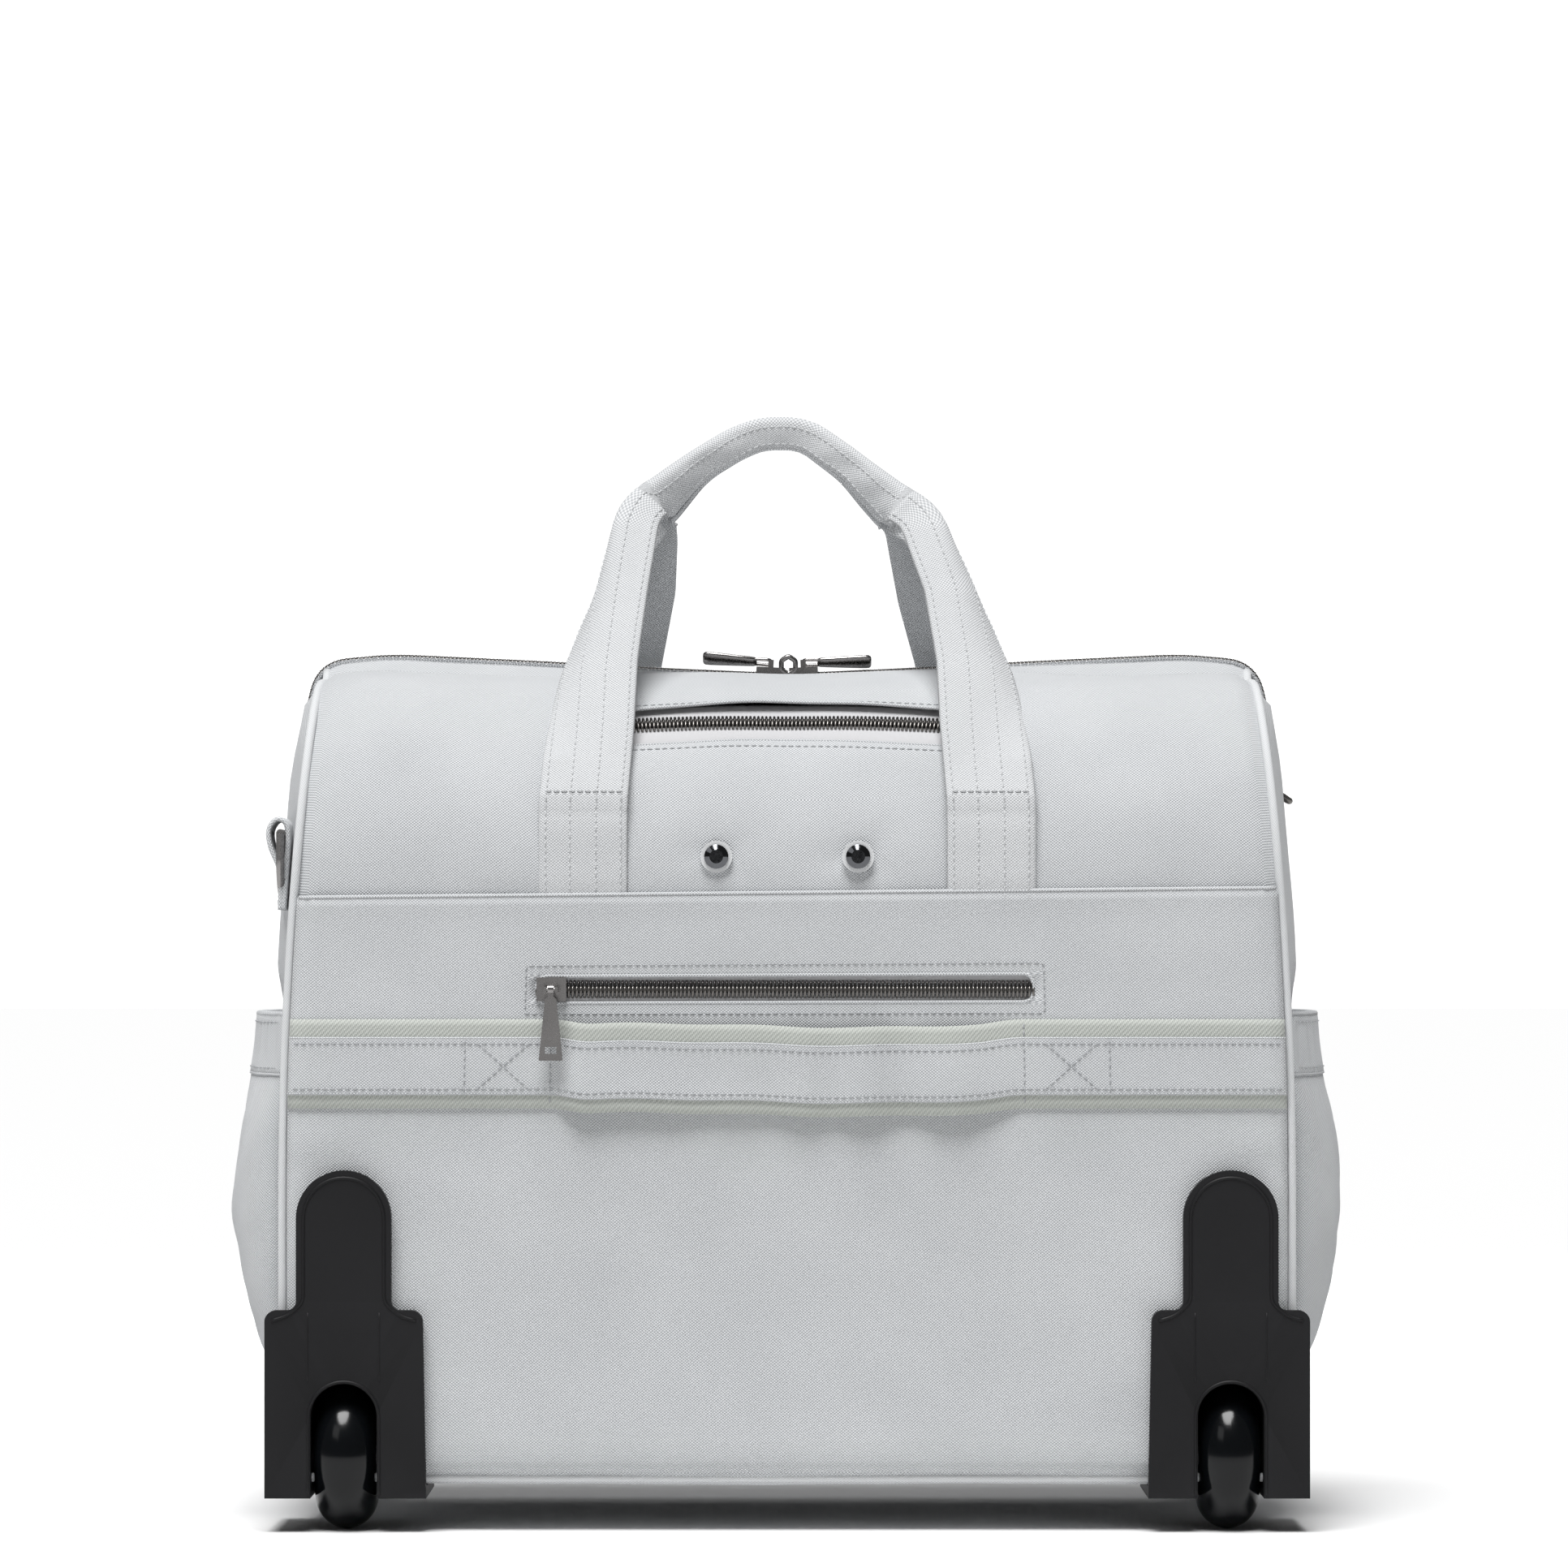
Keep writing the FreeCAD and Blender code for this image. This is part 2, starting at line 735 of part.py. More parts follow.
# ---------------------------------------------------------------- wheel housings
u_left = "(wheel_x - housing_half)"
u_right = "(wheel_x + housing_half)"
t_left = "(wheel_x - tongue_half)"
t_right = "(wheel_x + tongue_half)"
plate_corners = [
    (f"{u_left} - 1.5", "housing_low"),
    (u_right, "housing_low"),
    (u_right, "housing_step - 5", "5", 1),
    (f"{u_right} - 5", "housing_step"),
    (f"{t_right} + 4", "housing_step", "4", -1),
    (t_right, "housing_step + 4"),
    (t_right, "tongue_top - tongue_half", "tongue_half", 1),
    ("wheel_x", "tongue_top", "tongue_half", 1),
    (t_left, "tongue_top - tongue_half"),
    (t_left, "housing_step + 4", "4", -1),
    (f"{t_left} - 4", "housing_step"),
    (f"{u_left} + 5", "housing_step", "5", 1),
    (u_left, "housing_step - 5"),
]
plate = extrude(outline("housing_plate", "XZ", plate_corners), "housing_back - half_depth - pocket_thick")
place(plate, 0, POCKET_FACE, 0)
cheek = box(
    "cheek",
    ("half_width + 0.5", "-housing_back", "housing_low"),
    (u_right, "-cheek_front", "housing_step - 5"),
)
sole = box(
    "sole",
    (f"{u_left} - 1.5", "-housing_back", "housing_low"),
    (u_right, "-well_front", "bottom"),
)
arch = cylinder(
    "arch", "arch_half", ("wheel_x", -130, "well_top - 7 - arch_half"), "130 - well_front - 3", "Y"
)
arch_room = box(
    "arch_room",
    ("wheel_x - arch_half", -130, 0),
    ("wheel_x + arch_half", "-well_front - 3", "well_top - 7 - arch_half"),
)
axle_bore = cylinder(
    "axle_bore", "axle_radius", ("wheel_x - 30", "-wheel_y", "wheel_radius"), 60, "X"
)
housing_cuts = fuse("housing_cuts", arch, arch_room, axle_bore, shanks_right)
housing_body = fuse("housing_body", plate, cheek, sole, well)
housing_right = part(cut("housing_right", housing_body, housing_cuts), "wheel_housing_right")
part(mirror("housing_left", housing_right, LEFT), "wheel_housing_left")

heads = []
for number, (screw_x, screw_z) in enumerate(SCREWS):
    heads.append(cylinder(f"head_{number}", "screw_head", (screw_x, -104.5, screw_z), 2, "Y"))
screws_right = fuse("screws_right", shanks_right, *heads)
part(both_sides("screws", screws_right), "housing_screws")

# ---------------------------------------------------------------- wheels
bead = "(wheel_radius - tyre_half)"
tyre_corners = [
    ("-tyre_half", "hub_radius"),
    ("tyre_half", "hub_radius"),
    ("tyre_half", bead, "tyre_half", 1),
    ("0", "wheel_radius", "tyre_half", 1),
    ("-tyre_half", bead),
]
seat = "(hub_radius - 3)"
hub_corners = [
    (f"-{seat}", "bearing_radius"),
    (f"bearing_wide - {seat}", "bearing_radius"),
    (f"bearing_wide - {seat}", "bearing_radius - 4"),
    (f"{seat} - bearing_wide", "bearing_radius - 4"),
    (f"{seat} - bearing_wide", "bearing_radius"),
    (seat, "bearing_radius"),
    (seat, "hub_radius"),
    (f"-{seat}", "hub_radius"),
]
WHEEL_AT = {"x": "wheel_x", "y": "-wheel_y", "z": "wheel_radius"}
for name, corners in (("tyre", tyre_corners), ("hub", hub_corners)):
    right = part(revolve(name, corners), f"{name}_right", **WHEEL_AT)
    part(mirror(f"{name}_mirrored", right, LEFT), f"{name}_left")


def bearing(name, start):
    ring_out = cylinder(
        name + "_race", "bearing_radius - running", (start, "-wheel_y", "wheel_radius"), "bearing_wide", "X"
    )
    return cut(name, ring_out, axle_bore)


bearings = group(
    "bearings_right",
    bearing("bearing_in", f"wheel_x - {seat}"),
    bearing("bearing_out", f"wheel_x + {seat} - bearing_wide"),
)
part(both_sides("bearings", bearings), "wheel_bearings")
pin = cylinder(
    "pin", "axle_radius", ("wheel_x - well_half", "-wheel_y", "wheel_radius"), "2 * well_half", "X"
)
caps = [
    cylinder("cap_in", 5, ("wheel_x - well_half - 2", "-wheel_y", "wheel_radius"), 2, "X"),
    cylinder("cap_out", 5, ("wheel_x + well_half", "-wheel_y", "wheel_radius"), 2, "X"),
]
part(both_sides("axles", fuse("axle", pin, *caps)), "wheel_axles")

# ---------------------------------------------------------------- boards, lining and feet
board = box(
    "board",
    ("-board_half", "-board_face - board_thick", "board_low"),
    ("board_half", "-board_face", "board_high"),
)
part(cut("board_cut", board, pocket_cuts), "back_board")
base = box(
    "base",
    ("-base_half", "-base_depth", "bottom + wall"),
    ("base_half", "base_depth", "bottom + wall + base_thick"),
)
part(cut("base_cut", base, wells), "base_board")
lining = box(
    "lining",
    ("-lining_half", "-lining_front - lining_thick", "inside_low"),
    ("lining_half", "-lining_front", "lining_high"),
)
part(lining, "trolley_lining")
divider = box(
    "divider",
    ("-divider_half", "-divider_front - divider_thick", "inside_low"),
    ("divider_half", "-divider_front", "divider_high"),
)
part(divider, "laptop_divider")
foot = doc.addObject("Part::Cone", "foot")
bind(foot, Radius1="foot_face", Radius2="foot_top", Height="bottom")
place(foot, "foot_x", "foot_y", 0)
part(both_sides("feet", foot), "front_feet")

# ---------------------------------------------------------------- trolley
RISE = "(outer_wide - outer_deep)"


def tube_pair(label, wide, low, high, wall="tube_wall"):
    """Two upright rectangular tubes, or two sockets where the wall is None."""
    pieces = []
    for side in (-1, 1):
        def block(name, size):
            return box(
                f"{label}_{name}_{'left' if side < 0 else 'right'}",
                (f"{side} * tube_x - {size} / 2", f"-trolley_y - ({size} - {RISE}) / 2", low),
                (f"{side} * tube_x + {size} / 2", f"-trolley_y + ({size} - {RISE}) / 2", high),
            )
        outside = block("outside", wide)
        if wall is None:
            pieces.append(outside)
            continue
        inside = block("inside", f"({wide} - 2 * {wall})")
        pieces.append(cut(f"{label}_{'left' if side < 0 else 'right'}", outside, inside))
    return group(label, *pieces)


part(tube_pair("tubes_outer", "outer_wide", "tube_low", "bezel_low"), "trolley_outer_tubes")
part(tube_pair("tubes_one", SECOND_WIDE, 36, 270), "trolley_lower_tubes")
part(tube_pair("tubes_two", "(outer_wide - 2 * tube_step_wide)", 38, 272), "trolley_middle_tubes")
part(tube_pair("tubes_three", "(outer_wide - 3 * tube_step_wide)", 40, "grip_low"), "trolley_upper_tubes")
part(box("bracket", (-66, -99, "inside_low"), (66, -77, "tube_low")), "trolley_base")

bezel_block = box(
    "bezel_block",
    ("-bezel_half", -104.3, "bezel_low"),
    ("bezel_half", -72.3, "bezel_top"),
)
bezel_room = box(
    "bezel_room",
    ("-grip_half - 2", -101.3, "bezel_low + bezel_floor"),
    ("grip_half + 2", -74.5, "bezel_top + 1"),
)
sockets = tube_pair("sockets", "(outer_wide - 2 * tube_wall)", 250, 280, wall=None)
bezel_cuts = fuse("bezel_cuts", bezel_room, sockets, rivet_bores)
part(cut("bezel", bezel_block, bezel_cuts), "trolley_bezel")

grip_radius = 8
grip_back = "(-trolley_y - grip_deep / 2)"
grip_front = "(-trolley_y + grip_deep / 2)"
grip_corners = [
    (grip_back, "grip_low"),
    (grip_front, "grip_low"),
    (grip_front, f"grip_top - {grip_radius}", grip_radius, 1),
    (f"{grip_front} - {grip_radius}", "grip_top"),
    (f"{grip_back} + {grip_radius}", "grip_top", grip_radius, 1),
    (grip_back, f"grip_top - {grip_radius}"),
]
grip_solid = extrude(outline("grip", "YZ", grip_corners), "2 * grip_half", both=True)
button_room = box(
    "button_room",
    ("-button_half", "-trolley_y - button_deep / 2", "grip_top - 6"),
    ("button_half", "-trolley_y + button_deep / 2", "grip_top + 4"),
)
part(cut("grip_cut", grip_solid, button_room), "trolley_grip")
part(
    box(
        "button",
        ("-button_half + 0.3", "-trolley_y - button_deep / 2 + 0.3", "grip_top - 3.5"),
        ("button_half - 0.3", "-trolley_y + button_deep / 2 - 0.3", "grip_top + button_proud"),
    ),
    "trolley_button",
)


def rivet(name):
    """A domed rivet head outside the back with its shank through to the bezel."""
    shank = cylinder(name + "_shank", 3, ("rivet_x", -112, "rivet_z"), 10.5, "Y")
    disc = cylinder(name + "_disc", 5.3, ("rivet_x", -113, "rivet_z"), 1, "Y")
    dome = doc.addObject("Part::Cone", name + "_dome")
    bind(dome, Radius1=3, Radius2=5.3, Height=1.2)
    place(dome, "rivet_x", -114.2, "rivet_z", rotation=AXES["Y"])
    return fuse(name, shank, disc, dome)


part(both_sides("rivets", rivet("rivet")), "trolley_rivets")
grommet = cut(
    "grommet", cylinder("grommet_disc", 7, ("rivet_x", -112, "rivet_z"), 2, "Y"), rivet_bore
)
part(both_sides("grommets", grommet), "rivet_grommets")

# the tape and coil that close the slit over the trolley lie on an arc of their own
def arc_strip(name, inner, outer, from_y, to_y, half):
    """A straight strip along X on the trolley zip's arc, with radial sides. The two distances behind the
    middle are those of its inner face."""
    def at(radius, y):
        away = f"({radius} / {inner} * ({y} - {ARC_Y}))"
        return (f"-{ARC_Y} - {away}", f"zip_arc_z + sqrt({radius}^2 - {away}^2)")
    corners = [
        at(outer, from_y) + (outer, -1),
        at(outer, to_y),
        at(inner, to_y) + (inner, 1),
        at(inner, from_y),
    ]
    return extrude(outline(name, "YZ", corners), f"2 * {half}", both=True)


cover_tape = arc_strip(
    "cover_tape", "(zip_arc - tape_thick)", "zip_arc", "(slit_back - 1)", "slit_front", "slit_half"
)
coil_y = f"({ARC_Y} + zip_arc * 0.6947)"
cover_coil = arc_strip(
    "cover_coil", "zip_arc", "(zip_arc + flat_coil)", f"{coil_y} + 2.5", f"{coil_y} - 2.5", "(slit_half - 2)"
)
part(group("cover", cover_tape, cover_coil), "trolley_zip_tape")

# ---------------------------------------------------------------- zip sliders and pulls
def slider(name, coil, bar_lift, along, pin_wide=3):
    """A slider in its own frame: the zip runs along X, its tape lies at Z 0. The pivot bar for the pull
    runs along X where along is true, else across. No bar is made where bar_lift is None."""
    top = f"({coil} + slider_gap + slider_plate)"
    body = box(
        name + "_body",
        ("-slider_long / 2", "-slider_half", "slider_gap"),
        ("slider_long / 2", "slider_half", top),
    )
    channel = box(
        name + "_channel",
        ("-slider_long", "-coil_half - slider_gap", 0),
        ("slider_long", "coil_half + slider_gap", f"{coil} + slider_gap"),
    )
    shell = cut(name + "_shell", body, channel)
    if bar_lift is None:
        return shell
    height = f"{top} + {bar_lift}"
    half = f"{pin_wide} / 2"
    pieces = [shell]
    for side in (-1, 1):
        near = f"{side} * ({half} + 0.9)"
        low_u = f"{near} - 0.7"
        high_u = f"{near} + 0.7"
        tag = "low" if side < 0 else "high"
        low = (low_u, -1.2, top) if along else (-1.2, low_u, top)
        high = (high_u, 1.2, f"{height} + 1.2") if along else (1.2, high_u, f"{height} + 1.2")
        pieces.append(box(f"{name}_post_{tag}", low, high))
    start = (f"-({half}) - 0.5", 0, height) if along else (0, f"-({half}) - 0.5", height)
    pieces.append(
        cylinder(name + "_bar", "bar_radius", start, f"2 * ({half}) + 1", "X" if along else "Y")
    )
    return fuse(name, *pieces)


def pull(name, wide_near=5, wide_far=10.5):
    """A pull in its own frame: its eye is round the Y axis and its plate runs out along X."""
    corners = [
        (0, -1.3),
        (3.2, -1.3),
        (4.2, f"-{wide_near} / 2"),
        ("pull_long", f"-{wide_far} / 2"),
        ("pull_long", f"{wide_far} / 2"),
        (4.2, f"{wide_near} / 2"),
        (3.2, 1.3),
        (0, 1.3),
    ]
    plate = extrude(outline(name + "_plate", "XY", corners), "pull_thick", both=True)
    eye = cylinder(name + "_eye", "eye_radius", (0, -1.3, 0), 2.6, "Y")
    bore = cylinder(name + "_bore", "bar_radius + eye_clear", (0, -4, 0), 8, "Y")
    slot = box(
        name + "_slot", ("pull_long - 6", -2.5, -2), ("pull_long - 3", 2.5, 2)
    )
    return cut(name, fuse(name + "_solid", plate, eye), fuse(name + "_holes", bore, slot))


crest_tilt = math.degrees(math.atan(value(CREST_SLOPE)))
tilt = Rotation(Vector(0, -1, 0), crest_tilt)
slider_z = f"crest - 1 + crest_slider * {CREST_SLOPE}"
main_right = part(
    slider("main_slider", "coil_tall", "crest_bar", False),
    "main_slider_right",
    "crest_slider", 0, slider_z,
    rotation=tilt,
)
part(mirror("main_slider_mirrored", main_right, LEFT), "main_slider_left")
bar_height = value("coil_tall + slider_gap + slider_plate + crest_bar")
bar_at = tilt.multVec(Vector(0, 0, bar_height))
pull_right = part(
    pull("main_pull", 4, 7.5),
    "main_pull_right",
    f"crest_slider + {bar_at.x}", 0, f"{slider_z} + {bar_at.z}",
    rotation=tilt,
)
part(mirror("main_pull_mirrored", pull_right, LEFT), "main_pull_left")

facing_back = Rotation(Vector(1, 0, 0), 90)
part(
    slider("pocket_slide", "flat_coil", "pocket_bar", True),
    "pocket_slider",
    "-pocket_slider", f"{POCKET_FACE} + flat_coil", "pocket_zip_z",
    rotation=facing_back,
)
hanging_back = Rotation(Vector(0, 0, -1), Vector(1, 0, 0), Vector(0, -1, 0), "ZXY")
part(
    pull("pocket_tag"),
    "pocket_pull",
    "-pocket_slider", f"{POCKET_FACE} - slider_gap - slider_plate - pocket_bar", "pocket_zip_z",
    rotation=hanging_back,
)
over_shoulder = Rotation(Vector(1, 0, 0), 90 - value("zip_angle"))
zip_turn = math.radians(value("zip_angle"))
part(
    slider("trolley_slide", "flat_coil", None, True),
    "trolley_zip_slider",
    "-zip_parked",
    f"-{ARC_Y} - zip_arc * {math.cos(zip_turn)}",
    f"zip_arc_z + zip_arc * {math.sin(zip_turn)}",
    rotation=over_shoulder,
)

# ---------------------------------------------------------------- carry handles
HANDLE_OUTSIDE = [(108, "handle_start"), (101, 74), (69, 161), (40, 189), (14, 206)]
HANDLE_INSIDE = [(70, "handle_start"), (66.5, 74), (53, 153), (33, 176), (12, 190)]
handle_corners = list(HANDLE_OUTSIDE)
handle_corners += [(f"-{x}", y) for x, y in reversed(HANDLE_OUTSIDE)]
handle_corners += [(f"-{x}", y) for x, y in HANDLE_INSIDE]
handle_corners += list(reversed(HANDLE_INSIDE))
leaning = Rotation(Vector(1, 0, 0), 90 - value("handle_lean"))
handle = part(
    extrude(outline("handle", "XY", handle_corners), "handle_thick"),
    "handle_back",
    0, "-handle_y", "handle_z",
    rotation=leaning,
)
part(mirror("handle_mirrored", handle, FRONT), "handle_front")

anchor_shell = shoulder_strip("anchor_shell", "shoulder", "(shoulder + strap_thick)", 230, "60")
anchor_zone = box(
    "anchor_zone", ("strap_in", -130, "pocket_top"), ("strap_out", -60, "anchor_top")
)
anchor_back = both_sides("anchor_back", common("anchor", anchor_shell, anchor_zone))
part(group("anchors", anchor_back, mirror("anchor_front", anchor_back, FRONT)), "strap_anchors")

# ---------------------------------------------------------------- front pocket
round_corner = 14
front_corners = [
    (f"-front_half + {round_corner}", "front_low"),
    (f"front_half - {round_corner}", "front_low", round_corner, 1),
    ("front_half", f"front_low + {round_corner}"),
    ("front_half", f"front_high - {round_corner}", round_corner, 1),
    (f"front_half - {round_corner}", "front_high"),
    (f"-front_half + {round_corner}", "front_high", round_corner, 1),
    ("-front_half", f"front_high - {round_corner}"),
    ("-front_half", f"front_low + {round_corner}", round_corner, 1),
]
front_block = extrude(outline("front_block", "XZ", front_corners), "front_face - half_depth")
place(front_block, 0, "front_face", 0)
front_floor = "(half_depth + 3.4)"
front_recess = box(
    "front_recess",
    ("-front_zip_half", front_floor, "front_zip_z - 8"),
    ("front_zip_half", "front_face + 1", "front_zip_z + 8"),
)
part(cut("front_pocket_cut", front_block, front_recess), "front_pocket")
front_tape = box(
    "front_tape",
    ("-front_zip_half", front_floor, "front_zip_z - 8"),
    ("front_zip_half", f"{front_floor} + 1", "front_zip_z + 8"),
)
front_coil = box(
    "front_coil",
    ("-front_zip_half", f"{front_floor} + 1", "front_zip_z - coil_half"),
    ("front_zip_half", f"{front_floor} + 3", "front_zip_z + coil_half"),
)
part(group("front_zip_rows", front_tape, front_coil), "front_zip")
facing_front = Rotation(Vector(1, 0, 0), -90)
part(
    slider("front_slide", "flat_coil", "3.8", True),
    "front_slider",
    "front_zip_half - 8", f"{front_floor} + 1", "front_zip_z",
    rotation=facing_front,
)
hanging_front = Rotation(Vector(0, 0, -1), Vector(-1, 0, 0), Vector(0, 1, 0), "ZXY")
part(
    pull("front_tag"),
    "front_pull",
    "front_zip_half - 8",
    f"{front_floor} + 1 + flat_coil + slider_gap + slider_plate + 3.8",
    "front_zip_z",
    rotation=hanging_front,
)

# ---------------------------------------------------------------- checks and files
doc.recompute()
failed = [i.Label for i in doc.Objects if "Invalid" in i.State or "Error" in i.State]
if failed:
    raise RuntimeError(f"failed: {failed}")
os.makedirs("parts", exist_ok=True)
for item in PARTS:
    shape = item.Shape
    if shape.isNull() or not shape.isValid() or not shape.Solids:
        raise RuntimeError(f"{item.Label} has no sound shape")
for item in PARTS:
    item.Shape.exportStep(f"parts/{item.Label}.step")
print(len(PARTS), "sub-parts")
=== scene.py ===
"""Looks of the wheeled overnight bag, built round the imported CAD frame.

Points and sizes are in millimetres until a mesh is made, in the frame's own directions.
"""

import math

import bpy
import numpy as np
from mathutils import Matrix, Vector


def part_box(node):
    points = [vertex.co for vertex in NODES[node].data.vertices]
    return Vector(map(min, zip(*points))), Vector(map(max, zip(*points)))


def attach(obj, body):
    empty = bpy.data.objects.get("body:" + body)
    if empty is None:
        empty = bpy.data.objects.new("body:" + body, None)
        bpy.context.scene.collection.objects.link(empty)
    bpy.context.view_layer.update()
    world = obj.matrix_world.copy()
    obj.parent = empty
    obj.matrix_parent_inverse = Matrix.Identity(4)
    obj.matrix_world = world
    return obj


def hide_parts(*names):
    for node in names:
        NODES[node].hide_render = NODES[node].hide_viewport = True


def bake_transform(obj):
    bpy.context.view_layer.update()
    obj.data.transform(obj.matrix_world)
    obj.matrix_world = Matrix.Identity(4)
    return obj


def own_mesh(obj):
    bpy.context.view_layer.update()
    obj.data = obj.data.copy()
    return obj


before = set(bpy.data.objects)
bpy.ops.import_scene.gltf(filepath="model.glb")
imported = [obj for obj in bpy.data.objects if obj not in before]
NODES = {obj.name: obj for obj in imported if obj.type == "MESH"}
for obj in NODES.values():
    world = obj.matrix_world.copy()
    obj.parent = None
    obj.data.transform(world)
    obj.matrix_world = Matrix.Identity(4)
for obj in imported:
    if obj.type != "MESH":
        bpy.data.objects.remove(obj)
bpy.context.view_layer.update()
MM = 0.001

# ---------------------------------------------------------------- sizes of the bag, as the CAD has them
BOTTOM = 20.5
BACK = 110  # half the depth
HALF_WIDTH = 223
BEND_LOW, BEND_HIGH, BEND_R, LEAN = 150, 289, 1824, 0.0764  # the ends lean in above a long bend
FLAT_END, TURN_R = 29, 7  # where the flat back ends, and the radius that turns it under
SHOULDER_Z, SHOULDER_R, SHOULDER_Y = 284, 95, 15
CREST = 379
SAG = 9  # how much the crest's ends stand above its middle
SAG_ROUND, CORNER_DROP = 14, 4.5  # the soft bend in its middle, and the fall at its corners
CREST_SEAM_ANGLE, CREST_SEAM_Y = 86, 21.5  # the seam where the shoulder meets the zip's gusset
PIPE = 3  # radius of the corner piping
SEAM = 0.6  # from the piping in to the cloth's edge
POCKET_LOW, POCKET_TOP, POCKET_HALF = 26, 279, 219.0
RIVET_X, RIVET_Z = 31, 295
WELL_X, WELL_HALF, WELL_FRONT, WELL_TOP = 192.5, 20.5, -53, 74  # the opening over each wheel
SLIT_SHARE = 90 / 214  # half the trolley slit, as a share of half the shoulder's width
LIP_LOW, LIP_HIGH = 22.13, 60  # angles on the shoulder between which the slit's cover lies
HANDLE_X, HANDLE_Y, HANDLE_Z = 70.2, 109.7, 317  # where the handles leave the shoulder
HANDLE_LEAN = math.radians(30.8)
HOLE_CORNER = 4.5  # radius of the corners of a pocket's opening
TO_BACK, TO_FRONT = (0, -1, 0), (0, 1, 0)
ENDS = ((-1, "left"), (1, "right"))  # the sign of x and its word
FACES = ((-1, "back"), (1, "front"))  # the sign of y and its word


# ---------------------------------------------------------------- materials
MIX_FACTOR, MIX_DARK, MIX_LIGHT, MIX_COLOUR = 0, 6, 7, 2  # sockets of a Mix node set to colours


class Look:
    """A material made of nodes."""

    def __init__(self, name, colour, roughness, **sockets):
        self.material = bpy.data.materials.new(name)
        self.material.use_nodes = True
        self.tree = self.material.node_tree
        self.shader = self.tree.nodes["Principled BSDF"]
        self.shader.inputs["Base Color"].default_value = (*colour, 1)
        self.shader.inputs["Roughness"].default_value = roughness
        for socket, amount in sockets.items():
            self.shader.inputs[socket.replace("_", " ")].default_value = amount

    def node(self, kind, wires=(), **settings):
        made = self.tree.nodes.new("ShaderNode" + kind)
        for key, value in settings.items():
            setattr(made, key, value)
        for key, value in wires:
            if isinstance(value, bpy.types.NodeSocket):
                self.tree.links.new(value, made.inputs[key])
            else:
                made.inputs[key].default_value = value
        return made

    def math(self, operation, *values):
        return self.node("Math", enumerate(values), operation=operation).outputs[0]

    def coordinates(self, source):
        return self.node("TexCoord").outputs[source]

    def noise(self, scale, detail=3.0):
        wires = [("Vector", self.coordinates("Object")), ("Scale", scale), ("Detail", detail)]
        return self.node("TexNoise", wires).outputs["Fac"]

    def paint(self, amount, dark, light):
        wires = [(MIX_FACTOR, amount), (MIX_DARK, (*dark, 1)), (MIX_LIGHT, (*light, 1))]
        mixed = self.node("Mix", wires, data_type="RGBA").outputs[MIX_COLOUR]
        self.tree.links.new(mixed, self.shader.inputs["Base Color"])

    def dull(self, amount, low, high):
        roughness = self.math("MULTIPLY_ADD", amount, high - low, low)
        self.tree.links.new(roughness, self.shader.inputs["Roughness"])

    def bump(self, *layers):
        """Layers of height, each (height, depth in metres, strength)."""
        normal = None
        for height, depth, strength in layers:
            wires = [("Height", height), ("Distance", depth), ("Strength", strength)]
            if normal is not None:
                wires.append(("Normal", normal))
            normal = self.node("Bump", wires).outputs["Normal"]
        self.tree.links.new(normal, self.shader.inputs["Normal"])


def cloth_look(name, dark, light, pitch, depth, source="UV", ribs=False):
    """Woven cloth: brick-laid knots of thread, or slanting ribs, over a soft mottle.

    pitch is in millimetres of cloth, along the UVs or along two axes of the object."""
    look = Look(name, light, CLOTH_ROUGHNESS, Sheen_Weight=0.18, Sheen_Roughness=0.5)
    axes = look.node("SeparateXYZ", [("Vector", look.coordinates(source))])
    first, second, scale = (0, 1, 2 * math.pi) if source == "UV" else (0, 2, 2 * math.pi / MM)
    across = look.math("COSINE", look.math("MULTIPLY", axes.outputs[first], scale / pitch[0]))
    angle = look.math("MULTIPLY", axes.outputs[second], scale / pitch[1])
    if ribs:
        slant = look.math("MULTIPLY", axes.outputs[first], scale / (pitch[0] * 2.5))
        angle = look.math("ADD", angle, slant)
    along = look.math("COSINE", angle)
    weave = look.math("MULTIPLY_ADD", look.math("MULTIPLY", across, along), 0.5, 0.5)
    mottle = look.noise(22, 4)
    fibre = look.noise(1500, 2)
    mixed = look.math("MULTIPLY_ADD", weave, WEAVE_SHARE, look.math("MULTIPLY", mottle, MOTTLE_SHARE))
    look.paint(mixed, dark, light)
    look.dull(look.noise(300, 2), CLOTH_ROUGHNESS - 0.06, CLOTH_ROUGHNESS + 0.06)
    look.bump((mottle, 0.0006, 0.10), (fibre, 0.00004, 0.25), (weave, depth, 0.75))
    return look.material


def moulded_look(name, dark, light, rough, grain=900, **sockets):
    """Moulded plastic or rubber with a fine grain, a little cloudiness and worn edges."""
    look = Look(name, light, rough, **sockets)
    cloud = look.noise(18)
    edge = look.node("NewGeometry").outputs["Pointiness"]
    wear = look.math("MULTIPLY", look.math("SUBTRACT", edge, 0.52), 6)
    amount = look.node("Clamp", [("Value", look.math("MULTIPLY_ADD", cloud, 0.5, wear))]).outputs[0]
    look.paint(amount, dark, light)
    look.dull(look.noise(60, 4), rough - 0.06, rough + 0.07)
    look.bump((cloud, 0.0008, 0.08), (look.noise(grain), 0.00005, 0.35))
    return look.material


def metal_look(name, dark, light, rough, brushed=(1, 1, 1)):
    """Plated or anodised metal with fine scratches, brushed along one direction."""
    look = Look(name, light, rough, Metallic=1.0)
    stretched = look.node("Mapping", [("Vector", look.coordinates("Object")), ("Scale", brushed)])
    wires = [("Vector", stretched.outputs[0]), ("Scale", 700.0), ("Detail", 4.0)]
    lines = look.node("TexNoise", wires).outputs["Fac"]
    look.paint(look.noise(45), dark, light)
    look.dull(lines, rough - 0.05, rough + 0.10)
    look.bump((lines, 0.00002, 0.3))
    return look.material


